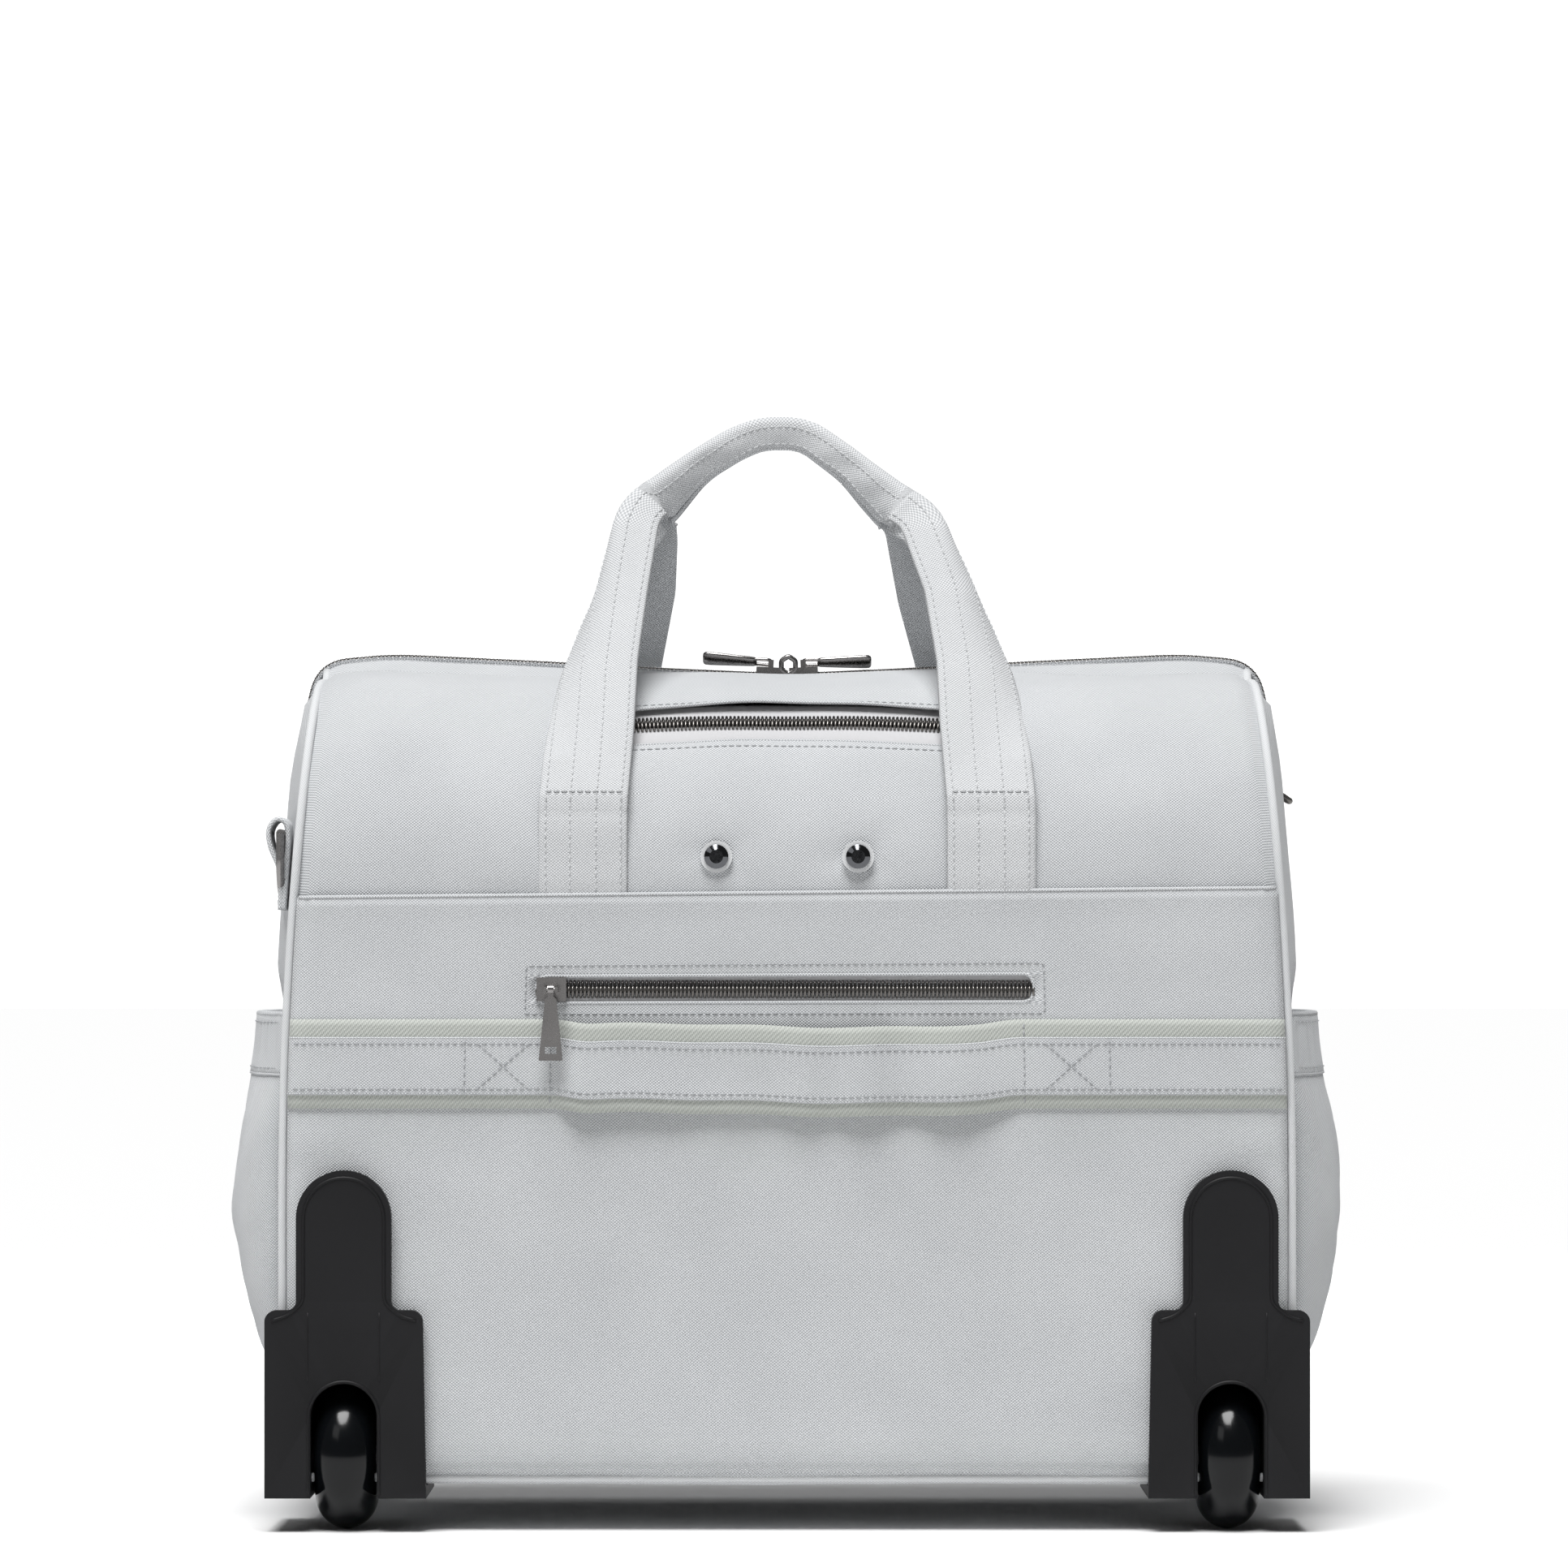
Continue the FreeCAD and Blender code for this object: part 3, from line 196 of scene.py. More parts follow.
CLOTH_ROUGHNESS = 0.82
WEAVE_SHARE, MOTTLE_SHARE = 0.80, 0.16
FINE = ((0.5, 0.5), 0.00006)  # pitch and depth of a twisted thread
LOOKS = {
    "fabric": cloth_look("fabric_weave", (0.27, 0.285, 0.305), (0.84, 0.852, 0.862), (1.5, 1.25), 0.0004),
    "strap": cloth_look("strap_weave", (0.33, 0.343, 0.36), (0.87, 0.879, 0.887), (1.5, 1.25), 0.0004),
    "piping": cloth_look("piping_bias", (0.50, 0.515, 0.53), (0.78, 0.79, 0.797), (1.1, 1.3), 0.00022),
    "webbing": cloth_look("webbing_rib", (0.33, 0.352, 0.327), (0.60, 0.618, 0.58), (1.3, 2.2), 0.00025,
                          ribs=True),
    "tape": cloth_look("zip_tape_rib", (0.46, 0.46, 0.475), (0.66, 0.655, 0.665), (0.8, 0.55), 0.0001,
                       ribs=True),
    "strap_thread": cloth_look("strap_thread_twist", (0.42, 0.43, 0.44), (0.70, 0.71, 0.72), *FINE),
    "thread": cloth_look("thread_twist", (0.27, 0.28, 0.295), (0.52, 0.53, 0.54), *FINE),
    "lining": cloth_look("lining_weave", (0.10, 0.105, 0.11), (0.17, 0.175, 0.18), (0.8, 0.6), 0.0001,
                         "Object"),
    "coil": moulded_look("zip_coil_plastic", (0.05, 0.047, 0.045), (0.20, 0.19, 0.18), 0.27, Metallic=0.75),
    "board": moulded_look("board_plastic", (0.012, 0.012, 0.013), (0.03, 0.03, 0.032), 0.5),
    "housing": moulded_look("housing_plastic", (0.004, 0.004, 0.0045), (0.014, 0.014, 0.0155), 0.46,
                            Specular_IOR_Level=0.22),
    "button": moulded_look("button_plastic", (0.04, 0.04, 0.042), (0.08, 0.08, 0.085), 0.4),
    "tyre": moulded_look("tyre_urethane", (0.002, 0.0025, 0.003), (0.006, 0.007, 0.009), 0.16, 60,
                         Specular_IOR_Level=0.3),
    "hub": moulded_look("hub_plastic", (0.010, 0.010, 0.011), (0.03, 0.03, 0.032), 0.4),
    "foot": moulded_look("foot_rubber", (0.012, 0.012, 0.012), (0.035, 0.035, 0.035), 0.7),
    "steel": metal_look("zinc_steel", (0.45, 0.46, 0.48), (0.65, 0.66, 0.68), 0.3),
    "gunmetal": metal_look("gunmetal_plating", (0.20, 0.192, 0.19), (0.36, 0.35, 0.345), 0.24),
    "aluminium": metal_look("satin_aluminium", (0.55, 0.56, 0.57), (0.74, 0.75, 0.76), 0.34, (1, 1, 0.03)),
    "chrome": metal_look("chrome_plating", (0.09, 0.092, 0.10), (0.16, 0.165, 0.175), 0.07),
    "grommet": moulded_look("grommet_enamel", (0.50, 0.51, 0.52), (0.66, 0.67, 0.68), 0.35),
}
SLOTS = {
    **dict.fromkeys(("fabric", "strap", "thread", "piping", "strap_thread"), "fabric_grey"),
    "webbing": "webbing", "tape": "zip_tape", "coil": "zip_coil", "lining": "lining", "gunmetal": "gunmetal",
}
NODE_LOOKS = {
    "lining": ["trolley_lining", "laptop_divider"],
    "board": ["back_board", "base_board"],
    "housing": ["wheel_housing_left", "wheel_housing_right", "trolley_base", "trolley_bezel", "trolley_grip"],
    "button": ["trolley_button"],
    "tyre": ["tyre_left", "tyre_right"],
    "hub": ["hub_left", "hub_right"],
    "foot": ["front_feet"],
    "steel": ["wheel_bearings", "wheel_axles", "housing_screws"],
    "aluminium": ["trolley_outer_tubes", "trolley_lower_tubes", "trolley_middle_tubes", "trolley_upper_tubes"],
    "chrome": ["trolley_rivets"],
    "grommet": ["rivet_grommets"],
    "gunmetal": ["main_slider_left", "main_slider_right", "main_pull_left", "main_pull_right", "pocket_slider",
                 "pocket_pull", "trolley_zip_slider", "front_slider", "front_pull", "ring_left", "ring_right"],
}


# ---------------------------------------------------------------- mesh helpers
def unit(vectors):
    """The same directions, each one long."""
    return vectors / np.linalg.norm(vectors, axis=-1)[..., None]


def travelled(points):
    """Distance gone along a line at each of its points."""
    return np.concatenate([[0], np.cumsum(np.linalg.norm(np.diff(points, axis=0), axis=1))])


def read_at(places, known, values):
    """Rows of values, known at some distances, read at other distances."""
    return np.stack([np.interp(places, known, values[:, i]) for i in range(values.shape[1])], axis=1)


def smoothstep(value, low, high):
    share = np.clip((value - low) / (high - low), 0, 1)
    return share * share * (3 - 2 * share)


def xyz(x, y, z):
    """Points from their coordinates, some of which may be single values."""
    return np.stack(np.broadcast_arrays(x, y, z), axis=-1)


def mound(value, middle, width):
    """One at the middle, falling off to nothing on both sides."""
    return np.exp(-(((value - middle) / width) ** 2))


def ripple(points, wavelength, seed, count=7):
    """Smooth wandering waves, about -1 to 1, the same on every run."""
    random = np.random.default_rng(seed)
    total = 0
    for _ in range(count):
        way = random.normal(size=3)
        way *= 2 * math.pi / (wavelength * random.uniform(0.7, 1.5)) / np.linalg.norm(way)
        total = total + np.sin(points @ way + random.uniform(0, 2 * math.pi))
    return total / math.sqrt(count) * 0.8


def spread(breaks, step):
    """Values through all the breaks, no further apart than step."""
    values = [breaks[0]]
    for low, high in zip(breaks, breaks[1:]):
        count = max(1, math.ceil(abs(high - low) / step))
        values += [low + (high - low) * (i + 1) / count for i in range(count)]
    return np.array(values)


def spreads(*parts):
    """Several spreads one after the other, each starting where the last one ended."""
    first, *rest = [spread(breaks, step) for breaks, step in parts]
    return np.concatenate([first, *(part[1:] for part in rest)])


def even(points, step):
    """The same line with points evenly apart."""
    points = np.asarray(points, float)
    gone = travelled(points)
    count = max(2, round(gone[-1] / step) + 1)
    return read_at(np.linspace(0, gone[-1], count), gone, points)


def rounded(points, radius, steps=6, closed=False):
    """A polyline in any number of directions with its corners turned as curves."""
    points = [np.asarray(p, float) for p in points]
    count = len(points)
    line = [] if closed else [points[0]]
    for i in range(0 if closed else 1, count if closed else count - 1):
        before, corner, after = points[i - 1], points[i], points[(i + 1) % count]
        back, on = before - corner, after - corner
        room = min(radius, np.linalg.norm(back) * 0.49, np.linalg.norm(on) * 0.49)
        start, end = corner + unit(back) * room, corner + unit(on) * room
        line += [(1 - t) ** 2 * start + 2 * t * (1 - t) * corner + t * t * end
                 for t in np.linspace(0, 1, steps)]
    line.append(line[0] if closed else points[-1])
    return np.array(line)


def add_mesh(name, points, faces, look, body="root", uv=None):
    """A piece from points in millimetres. uv is one pair for each point, in millimetres of cloth."""
    mesh = bpy.data.meshes.new(name)
    mesh.from_pydata((np.asarray(points, float) * MM).tolist(), [], [tuple(f) for f in faces])
    mesh.polygons.foreach_set("use_smooth", [True] * len(mesh.polygons))
    if uv is not None:
        layer = mesh.uv_layers.new(name="cloth")
        corners = np.zeros(len(mesh.loops), int)
        mesh.loops.foreach_get("vertex_index", corners)
        layer.data.foreach_set("uv", np.asarray(uv, float)[corners].ravel())
    mesh.materials.append(LOOKS[look])
    mesh.update()
    piece = bpy.data.objects.new(name, mesh)
    bpy.context.scene.collection.objects.link(piece)
    if body:
        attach(piece, body)
    return piece


def lengths(points, axis):
    """Distance travelled along one direction of a grid of points."""
    steps = np.linalg.norm(np.diff(points, axis=axis), axis=2)
    zero = np.zeros_like(np.take(steps, [0], axis=axis))
    return np.cumsum(np.concatenate([zero, steps], axis=axis), axis=axis)


def cloth_uv(points):
    """Where each point of a grid lies on the flat cloth, measured from its middle column."""
    uv = np.stack([lengths(points, 1), lengths(points, 0)], axis=2)
    uv[..., 0] -= uv[:, points.shape[1] // 2, 0][:, None]
    return uv


def grid_normals(points, outward):
    """The way a grid of points faces, on the side of the given direction."""
    normal = np.cross(np.gradient(points, axis=1), np.gradient(points, axis=0))
    normal /= np.maximum(np.linalg.norm(normal, axis=-1), 1e-9)[..., None]
    return normal * np.sign((normal * outward).sum(-1))[..., None]


def grid_piece(name, points, look, outward=None, keep=None, uv=None, normals=None):
    """A surface through a grid of points. keep says which cells stay, outward or normals how it faces."""
    rows, columns = points.shape[:2]
    index = np.arange(rows * columns).reshape(rows, columns)
    cells = np.stack([index[:-1, :-1], index[:-1, 1:], index[1:, 1:], index[1:, :-1]], axis=2)
    faces = (cells if keep is None else cells[keep]).reshape(-1, 4)
    flat = points.reshape(-1, 3)
    a, b, c = (flat[faces[:, i]] for i in range(3))
    way = np.asarray(outward, float) if normals is None else normals.reshape(-1, 3)[faces[:, 0]]
    if (np.cross(b - a, c - b) * way).sum() < 0:
        faces = faces[:, ::-1]
    if uv is None:
        uv = cloth_uv(points)
    used = np.unique(faces)
    place = np.zeros(len(flat), int)
    place[used] = np.arange(len(used))
    piece = add_mesh(name, flat[used], place[faces], look, uv=uv.reshape(-1, 2)[used])
    if normals is not None:
        piece.data.normals_split_custom_set_from_vertices(normals.reshape(-1, 3)[used].tolist())
    return piece


def frames_along(points, up):
    """Across and up at each point of a line, with up kept near the given direction."""
    tangent = unit(np.gradient(points, axis=0))
    across = unit(np.cross(tangent, np.broadcast_to(np.asarray(up, float), points.shape)))
    return across, np.cross(across, tangent)


def tube_cells(index):
    """Four-sided faces between rings of points, each ring closed on itself."""
    beside = np.roll(index, -1, axis=1)
    return np.stack([index[:-1], index[1:], beside[1:], beside[:-1]], axis=2).reshape(-1, 4)


def sweep(name, origins, across, up, sections, look, body="root", closed=False, turn=False):
    """A closed section carried along a line. sections is one outline, or one for each station."""
    sections = np.asarray(sections, float)
    if sections.ndim == 2:
        sections = np.broadcast_to(sections, (len(origins), *sections.shape))
    points = origins[:, None] + across[:, None] * sections[..., :1] + up[:, None] * sections[..., 1:]
    stations, around = points.shape[:2]
    index = np.arange(stations * around).reshape(stations, around)
    faces = tube_cells(np.vstack([index, index[:1]]) if closed else index).tolist()
    if not closed:
        faces += [index[0], index[-1][::-1]]
    girth = np.broadcast_to(travelled(sections[0]), (stations, around))
    gone = np.broadcast_to(lengths(points, 0)[:, :1], (stations, around))
    uv = np.stack([gone, girth] if turn else [girth, gone], axis=2)
    return add_mesh(name, points.reshape(-1, 3), faces, look, body, uv.reshape(-1, 2))


def circle(radius, sides):
    angles = np.linspace(0, 2 * math.pi, sides, endpoint=False)
    return np.stack([np.cos(angles), np.sin(angles)], axis=1) * radius


def flat_section(width, thickness, corner, steps):
    """A flat strap's outline: width along the first axis, its face up, its sides rounded."""
    half, high = width / 2, thickness / 2
    shoulder_in, shoulder_up = half - 0.25 * corner, high * 0.7
    face = [(a, high) for a in np.linspace(corner - half, half - corner, steps)]
    back = [(a, -high) for a in np.linspace(half - corner, corner - half, steps)]
    right = [(shoulder_in, shoulder_up), (half, 0), (shoulder_in, -shoulder_up)]
    left = [(-a, -b) for a, b in right]
    return np.array(face + right + back + left)


def tube(name, points, radius, look, up=(0, 0, 1), body="root", closed=False, sides=8):
    across, above = frames_along(points, up)
    return sweep(name, points, across, above, circle(radius, sides), look, body, closed)


def many(name, origins, along, across, up, shape, faces, look, body="root"):
    """Many copies of one small shape in one piece. shape is in along, across and up."""
    count, size = len(origins), len(shape)
    points = (
        origins[:, None]
        + along[:, None] * shape[None, :, :1]
        + across[:, None] * shape[None, :, 1:2]
        + up[:, None] * shape[None, :, 2:]
    )
    all_faces = (faces[None] + (np.arange(count) * size)[:, None, None]).reshape(-1, 4)
    return add_mesh(name, points.reshape(-1, 3), all_faces, look, body, np.tile(shape[:, :2], (count, 1)))


def wire_shape(line, radii, sides):
    """A short wire through points given as (along, across, up), as points and four-sided faces."""
    line = np.asarray(line, float)
    way = unit(np.gradient(line, axis=0))
    side = unit(np.cross(way, np.broadcast_to([0.31, 0.17, 0.93], way.shape)))
    ring = circle(1, sides)
    radii = np.broadcast_to(radii, (len(line),))[:, None, None]
    points = line[:, None] + side[:, None] * (ring[:, :1] * radii)
    points = points + np.cross(side, way)[:, None] * (ring[:, 1:] * radii)
    faces = tube_cells(np.arange(len(line) * sides).reshape(len(line), sides))[:, [0, 3, 2, 1]]
    return points.reshape(-1, 3), faces


STITCH_PITCH = 3.3
STITCH = wire_shape(
    [(-1.25, 0, -0.45), (-0.95, 0, 0.02), (-0.3, 0, 0.16), (0.3, 0, 0.16), (0.95, 0, 0.02), (1.25, 0, -0.45)],
    [0.18, 0.33, 0.36, 0.36, 0.33, 0.18], 5,
)


def stitch_rows(name, rows, body="root", pitch=STITCH_PITCH, look="thread"):
    """Sewn lines. Each row is points along the cloth and the way the cloth faces at each."""
    where, along, up = [], [], []
    for points, facing in rows:
        points = np.asarray(points, float)
        facing = np.broadcast_to(np.asarray(facing, float), points.shape)
        gone = travelled(points)
        count = max(1, round(gone[-1] / pitch))
        at = (np.arange(count) + 0.5) * gone[-1] / count
        where.append(read_at(at, gone, points))
        along.append(read_at(at + 0.4, gone, points) - read_at(at - 0.4, gone, points))
        up.append(read_at(at, gone, facing))
    where, along, up = (np.concatenate(part) for part in (where, along, up))
    along = unit(along)
    across = unit(np.cross(up, along))
    return many(name, where, along, across, np.cross(along, across), *STITCH, look, body)


TOOTH_PITCH, TOOTH_WIRE, TOOTH_HEIGHT, TOOTH_HALF = 1.75, 0.6, 1.6, 3.4


def zip_teeth(name, points, up, half=TOOTH_HALF):
    """Both rows of a coil zip along a line, each tooth a bent wire that meets the other row."""
    points = even(points, TOOTH_PITCH / 2)
    if np.ndim(up) == 2:
        up = read_at(np.linspace(0, 1, len(points)), np.linspace(0, 1, len(up)), up)
    across, above = frames_along(points, up)
    line = [(0, 1, 0), (0, 1, 0.55), (0, 0.72, 1), (0.1, 0.15, 1.1), (0.15, -0.22, 0.95), (0.15, -0.3, 0.4)]
    line = np.array(line) * (1, half, TOOTH_HEIGHT)
    line[1, 1] += 0.05  # the wire leans out a little as it rises
    signs = np.where(np.arange(len(points)) % 2 == 0, 1.0, -1.0)
    along = np.cross(above, across)
    return many(name, points, along, across * signs[:, None], above, *wire_shape(line, TOOTH_WIRE, 6), "coil")


# ---------------------------------------------------------------- the bag's own surface
def half_width(z):
    """Half the bag's width at a height, to the outside of the piping."""
    z = np.asarray(z, float)
    bend = HALF_WIDTH - np.clip(z - BEND_LOW, 0, BEND_HIGH - BEND_LOW) ** 2 / (2 * BEND_R)
    return bend - LEAN * np.clip(z - BEND_HIGH, 0, None)


def cloth_half(z):
    """Half the width of the shell's cloth, from seam to seam."""
    return half_width(z) - PIPE - SEAM


def rise(x):
    """How much higher the crest is away from the middle, where it sags, and how it drops at its corners."""
    x = np.abs(np.asarray(x, float))
    climb = (np.sqrt(x**2 + SAG_ROUND**2) - SAG_ROUND) * SAG / 190
    return climb - CORNER_DROP * (np.clip(x - 168, 0, None) / 38) ** 2


def profile_rows():
    """One half of the bag's section from the zip to the middle of the bottom.

    Each row is (distance from the middle, height, share of the sag, out, up, angle on the shoulder).
    The angle is -1 on the flat side, -2 on the turn below it and -3 on the bottom."""
    rows = [(y, CREST - 0.4, 1, 0, 1, 90) for y in (7.0, 11.0, 15.5, 19.5)]
    for angle in spread([85.8, LIP_HIGH, LIP_LOW, 0], 2.6):
        out, up = math.cos(math.radians(angle)), math.sin(math.radians(angle))
        rows.append((SHOULDER_Y + SHOULDER_R * out, SHOULDER_Z + SHOULDER_R * up, 1, out, up, angle))
    for z in spread([SHOULDER_Z, 230, 120, FLAT_END], 5.5)[1:]:
        rows.append((BACK, z, (z - FLAT_END) / (SHOULDER_Z - FLAT_END), 1, 0, -1))
    for angle in (20, 45, 70, 90):
        out, down = math.cos(math.radians(angle)), math.sin(math.radians(angle))
        rows.append((BACK - TURN_R + TURN_R * out, BOTTOM + TURN_R - TURN_R * down, 0, out, -down, -2))
    for y in spread([BACK - TURN_R, 0], 9)[1:]:
        rows.append((y, BOTTOM, 0, 0, -1, -3))
    return rows


def swelling(points, side):
    """How far the padded cloth stands off its flat shape at each point: crowned, puckered, pulled in."""
    x, z = points[..., 0], points[..., 2]
    room = half_width(z) - PIPE - np.abs(x)
    tuck = -3.4 * (1 - smoothstep(room, -0.5, 4.5)) + 1.1 * smoothstep(room, 4, 55)
    waves = 1.0 * ripple(points, 125, 11) + 0.34 * ripple(points, 52, 5) * smoothstep(room, 2, 30)
    corner = smoothstep(np.abs(x), 120, 205) * smoothstep(z, 300, 372)
    folds = 1.1 * corner * np.sin((np.abs(x) * 0.55 + z * 0.85) / 7.5)
    gather = 0.35 * (1 - smoothstep(room, 2, 22)) * ripple(points, 17, 23)
    total = tuck + waves + folds + gather
    if side < 0:
        # the rivets pull a dimple with short creases round it, and a hollow between them
        for at in (-RIVET_X, RIVET_X):
            away = np.hypot(x - at, z - RIVET_Z)
            bearing = np.arctan2(z - RIVET_Z, x - at)
            total = total - 1.5 * mound(away, 0, 13)
            total = total + 0.35 * mound(away, 0, 24) * np.cos(5 * bearing + at)
        total = total - 0.6 * mound(z, RIVET_Z + 1, 14) * (1 - smoothstep(np.abs(x), 28, 62))
    return total


def crest_fall(x, y, angle):
    """How far the cloth falls away from the zip on each side of the crest, most near the ends."""
    if angle < 0:
        return 0 * x
    flat = angle >= 89
    down = smoothstep(y, 8, CREST_SEAM_Y) if flat else smoothstep(angle, 58, CREST_SEAM_ANGLE)
    from_seam = (CREST_SEAM_Y - y) * 0.6 if flat else angle - CREST_SEAM_ANGLE
    tuck = 0.9 * math.exp(-((from_seam / 1.6) ** 2))
    return down * (1.2 + 5.3 * smoothstep(np.abs(x), 40, 150)) + tuck


HALF = profile_rows()
ACROSS = spread([-1, -SLIT_SHARE, SLIT_SHARE, 1], 0.023)
SECTION = [(-1, row) for row in HALF] + [(1, row) for row in HALF[::-1][1:]]


def shell_grid():
    """Grid of the whole bag, from the zip over the back, under the bottom and up the front."""
    grid = np.zeros((len(SECTION), len(ACROSS), 3))
    facing = np.zeros_like(grid)
    for i, (side, (y, z, sag, out, up, angle)) in enumerate(SECTION):
        half = cloth_half(z + sag * SAG)
        if z < 40:
            half = cloth_half(z) - 8 * smoothstep(40 - z, 2, 19.5) ** 2
        x = ACROSS * half
        grid[i] = xyz(x, side * y, z + sag * rise(x))
        facing[i] = (0, side * out, up)
        amount = swelling(grid[i], side) * (1.0 if -1 <= angle < 89 else 0.35)
        if side < 0 and z < POCKET_TOP - 5:
            amount = np.minimum(amount, 1.2)
        grid[i] += facing[i] * amount[:, None]
        grid[i][:, 2] -= crest_fall(grid[i][:, 0], y, angle)
    return grid, facing


GRID, FACING = shell_grid()
angles = np.array([row[5] if side < 0 else -9 for side, row in SECTION])
row_mid = (angles[:-1] + angles[1:]) / 2
column_mid = np.abs(ACROSS[:-1] + ACROSS[1:]) / 2
slit_cells = np.outer((row_mid > LIP_LOW) & (row_mid < LIP_HIGH), column_mid < SLIT_SHARE)
cell_mid = (GRID[:-1, :-1] + GRID[1:, 1:]) / 2
well_cells = np.abs(np.abs(cell_mid[..., 0]) - WELL_X) < WELL_HALF
well_cells &= (cell_mid[..., 1] < WELL_FRONT) & (cell_mid[..., 2] < WELL_TOP)
kept_cells = ~(slit_cells | well_cells)
shell = grid_piece("bag_shell", GRID, "fabric", keep=kept_cells, normals=grid_normals(GRID, FACING))


def end_wall(y, z):
    """How far out the end of the bag stands: a padded panel that bulges in the middle."""
    middle = np.clip(1 - (np.asarray(y, float) / 103) ** 2, 0, 1) ** 2
    full = 7.0 * smoothstep(z, 40, 170) + 4.5 * smoothstep(z, 224, 250)
    groove = 3.4 * (1 - smoothstep(np.abs(y), 8, 20)) * smoothstep(z, 306, 322)
    return half_width(z) - 1.0 + full * middle * (1 - 0.45 * smoothstep(z, 330, 388)) - groove


def end_cap(side):
    """The end of the bag: rings of cloth from the corner seam in to the middle of the end."""
    edge = GRID[:, -1 if side > 0 else 0].copy()
    rings = []
    for share in spread([0, 0.06, 1], 0.07):
        ring = edge.copy()
        ring[:, 1:] = edge[:, 1:] + ((0, 205.0) - edge[:, 1:]) * share
        flat = side * end_wall(ring[:, 1], ring[:, 2])
        ease = smoothstep(share, 0, 0.05)
        ring[:, 0] = edge[:, 0] * (1 - ease) + flat * ease
        ring[:, 0] += side * ease * 0.55 * (ripple(ring, 60, 31) - 0.6)
        rings.append(ring)
    rings = np.array(rings)
    return np.concatenate([rings, rings[:, :1]], axis=1)


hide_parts("back_panel", "front_panel", "bottom_panel", "zip_gussets")
for side, word in ENDS:
    rings = end_cap(side)
    cap = grid_piece(f"end_panel_{word}_cloth", rings, "fabric", (side, 0, 0), uv=rings[..., [1, 2]])
    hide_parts(f"end_panel_{word}")


# ---------------------------------------------------------------- corner piping
PIPING_R = 1.95  # how much of the CAD's piping stands out of its seam
PIPING_IN, PIPING_SUNK = 2.2, 1.8  # its middle, in from the bag's end and in from the cloth's face
PIPING_LOW = 23.5


def piping_run(side, end):
    """The piping up one corner seam, from the zip down to the bottom."""
    run = []
    for y, z, sag, _, _, angle in HALF:
        if angle < -1 or y < 10:
            continue
        wide = half_width(z + sag * SAG) - PIPING_IN
        inward = math.radians(max(angle, 0))
        fall = float(crest_fall(wide, y, angle)) + PIPING_SUNK * math.sin(inward)
        across = side * (y - PIPING_SUNK * math.cos(inward))
        run.append((end * wide, across, z + sag * float(rise(wide)) - fall))
    return run + [(end * 220, side * 108.0, PIPING_LOW)]


for side, word in FACES:
    route = rounded(piping_run(side, -1) + piping_run(side, 1)[::-1], 13, 7)
    kept = [route[0]]
    for p in route[1:]:
        if np.linalg.norm(p - kept[-1]) > 0.8:
            kept.append(p)
    route = even(np.array(kept), 5)
    pipe = tube(f"corner_piping_{word}", route, PIPING_R, "piping", up=(0.02, side * 1.0, 0.01), sides=12)
    if side < 0:
        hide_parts("corner_piping")


# ---------------------------------------------------------------- panels laid on the bag
def panel(name, point, us, vs, look, outward, hole=None, thickness=1.3, missing=None):
    """A cloth panel from a function of two distances, with an opening whose corners are rounded."""
    u, v = np.meshgrid(us, vs)
    uv = cloth_uv(point(u, v))
    keep = None
    if hole:
        u0, u1, v0, v1 = hole
        tiny = 1e-6
        for at, way in ((u0, 1), (u1, -1)):
            edge = (np.abs(u - at) < tiny) & (v >= v0 - tiny) & (v <= v1 + tiny)
            left = HOLE_CORNER - np.minimum(v - v0, v1 - v)
            cut = np.where(left > 0, HOLE_CORNER - np.sqrt(np.clip(HOLE_CORNER**2 - left**2, 0, None)), 0)
            u = np.where(edge, u + way * cut, u)
        in_rows = (vs[:-1] > v0 - tiny) & (vs[1:] < v1 + tiny)
        keep = ~np.outer(in_rows, (us[:-1] > u0 - tiny) & (us[1:] < u1 + tiny))
    points = point(u, v)
    if missing:
        keep = keep & ~missing((points[:-1, :-1] + points[1:, 1:]) / 2)
    piece = grid_piece(name, points, look, outward, keep, uv)
    solid = piece.modifiers.new("thickness", "SOLIDIFY")
    solid.thickness = thickness * MM
    solid.offset = -1
    solid.use_even_offset = False
    return piece


def facing_of(point, u, v, outward, step=0.5):
    """The way a panel faces at some of its points."""
    du = point(u + step, v) - point(u - step, v)
    dv = point(u, v + step) - point(u, v - step)
    normal = unit(np.cross(du, dv))
    return normal * np.sign((normal * np.asarray(outward, float)).sum(-1))[..., None]


def sewn(point, corners, outward, radius=None):
    """One row of stitches over a panel, through points in its two distances, closed if it has a radius."""
    flat = [(a, b, 0.0) for a, b in corners]
    u, v, _ = even(rounded(flat, radius, 5, True) if radius else flat, 1.5).T
    return point(u, v), facing_of(point, u, v, outward)


def box_corners(low_u, high_u, low_v, high_v):
    return [(low_u, low_v), (high_u, low_v), (high_u, high_v), (low_u, high_v)]


def welt(name, point, window, back):
    """The rolled edge of cloth round a zip's opening, set back from the panel's face."""
    u0, u1, v0, v1 = window
    corners = box_corners(u0 + 0.4, u1 - 0.4, v0 + 0.2, v1 - 0.2)
    u, v, _ = even(rounded([(*corner, 0) for corner in corners], 4.6, 6, True), 2.0)[:-1].T
    tube(name, point(u, v) + (0, back, 0), 0.95, "fabric", up=TO_FRONT, closed=True)


def zip_behind(name, x0, x1, z0, z1, y, outward):
    """A flat zip tape with a raised lip along each side of its coil."""
    middle = (z0 + z1) / 2

    def point(u, v):
        lip = 0.35 * mound(np.abs(v - middle), 4.6, 0.9)
        return xyz(u, y + np.sign(outward[1]) * lip, v)

    return panel(name, point, spread([x0, x1], 6), spread([z0, z1], 0.9), "tape", outward, thickness=0.7)


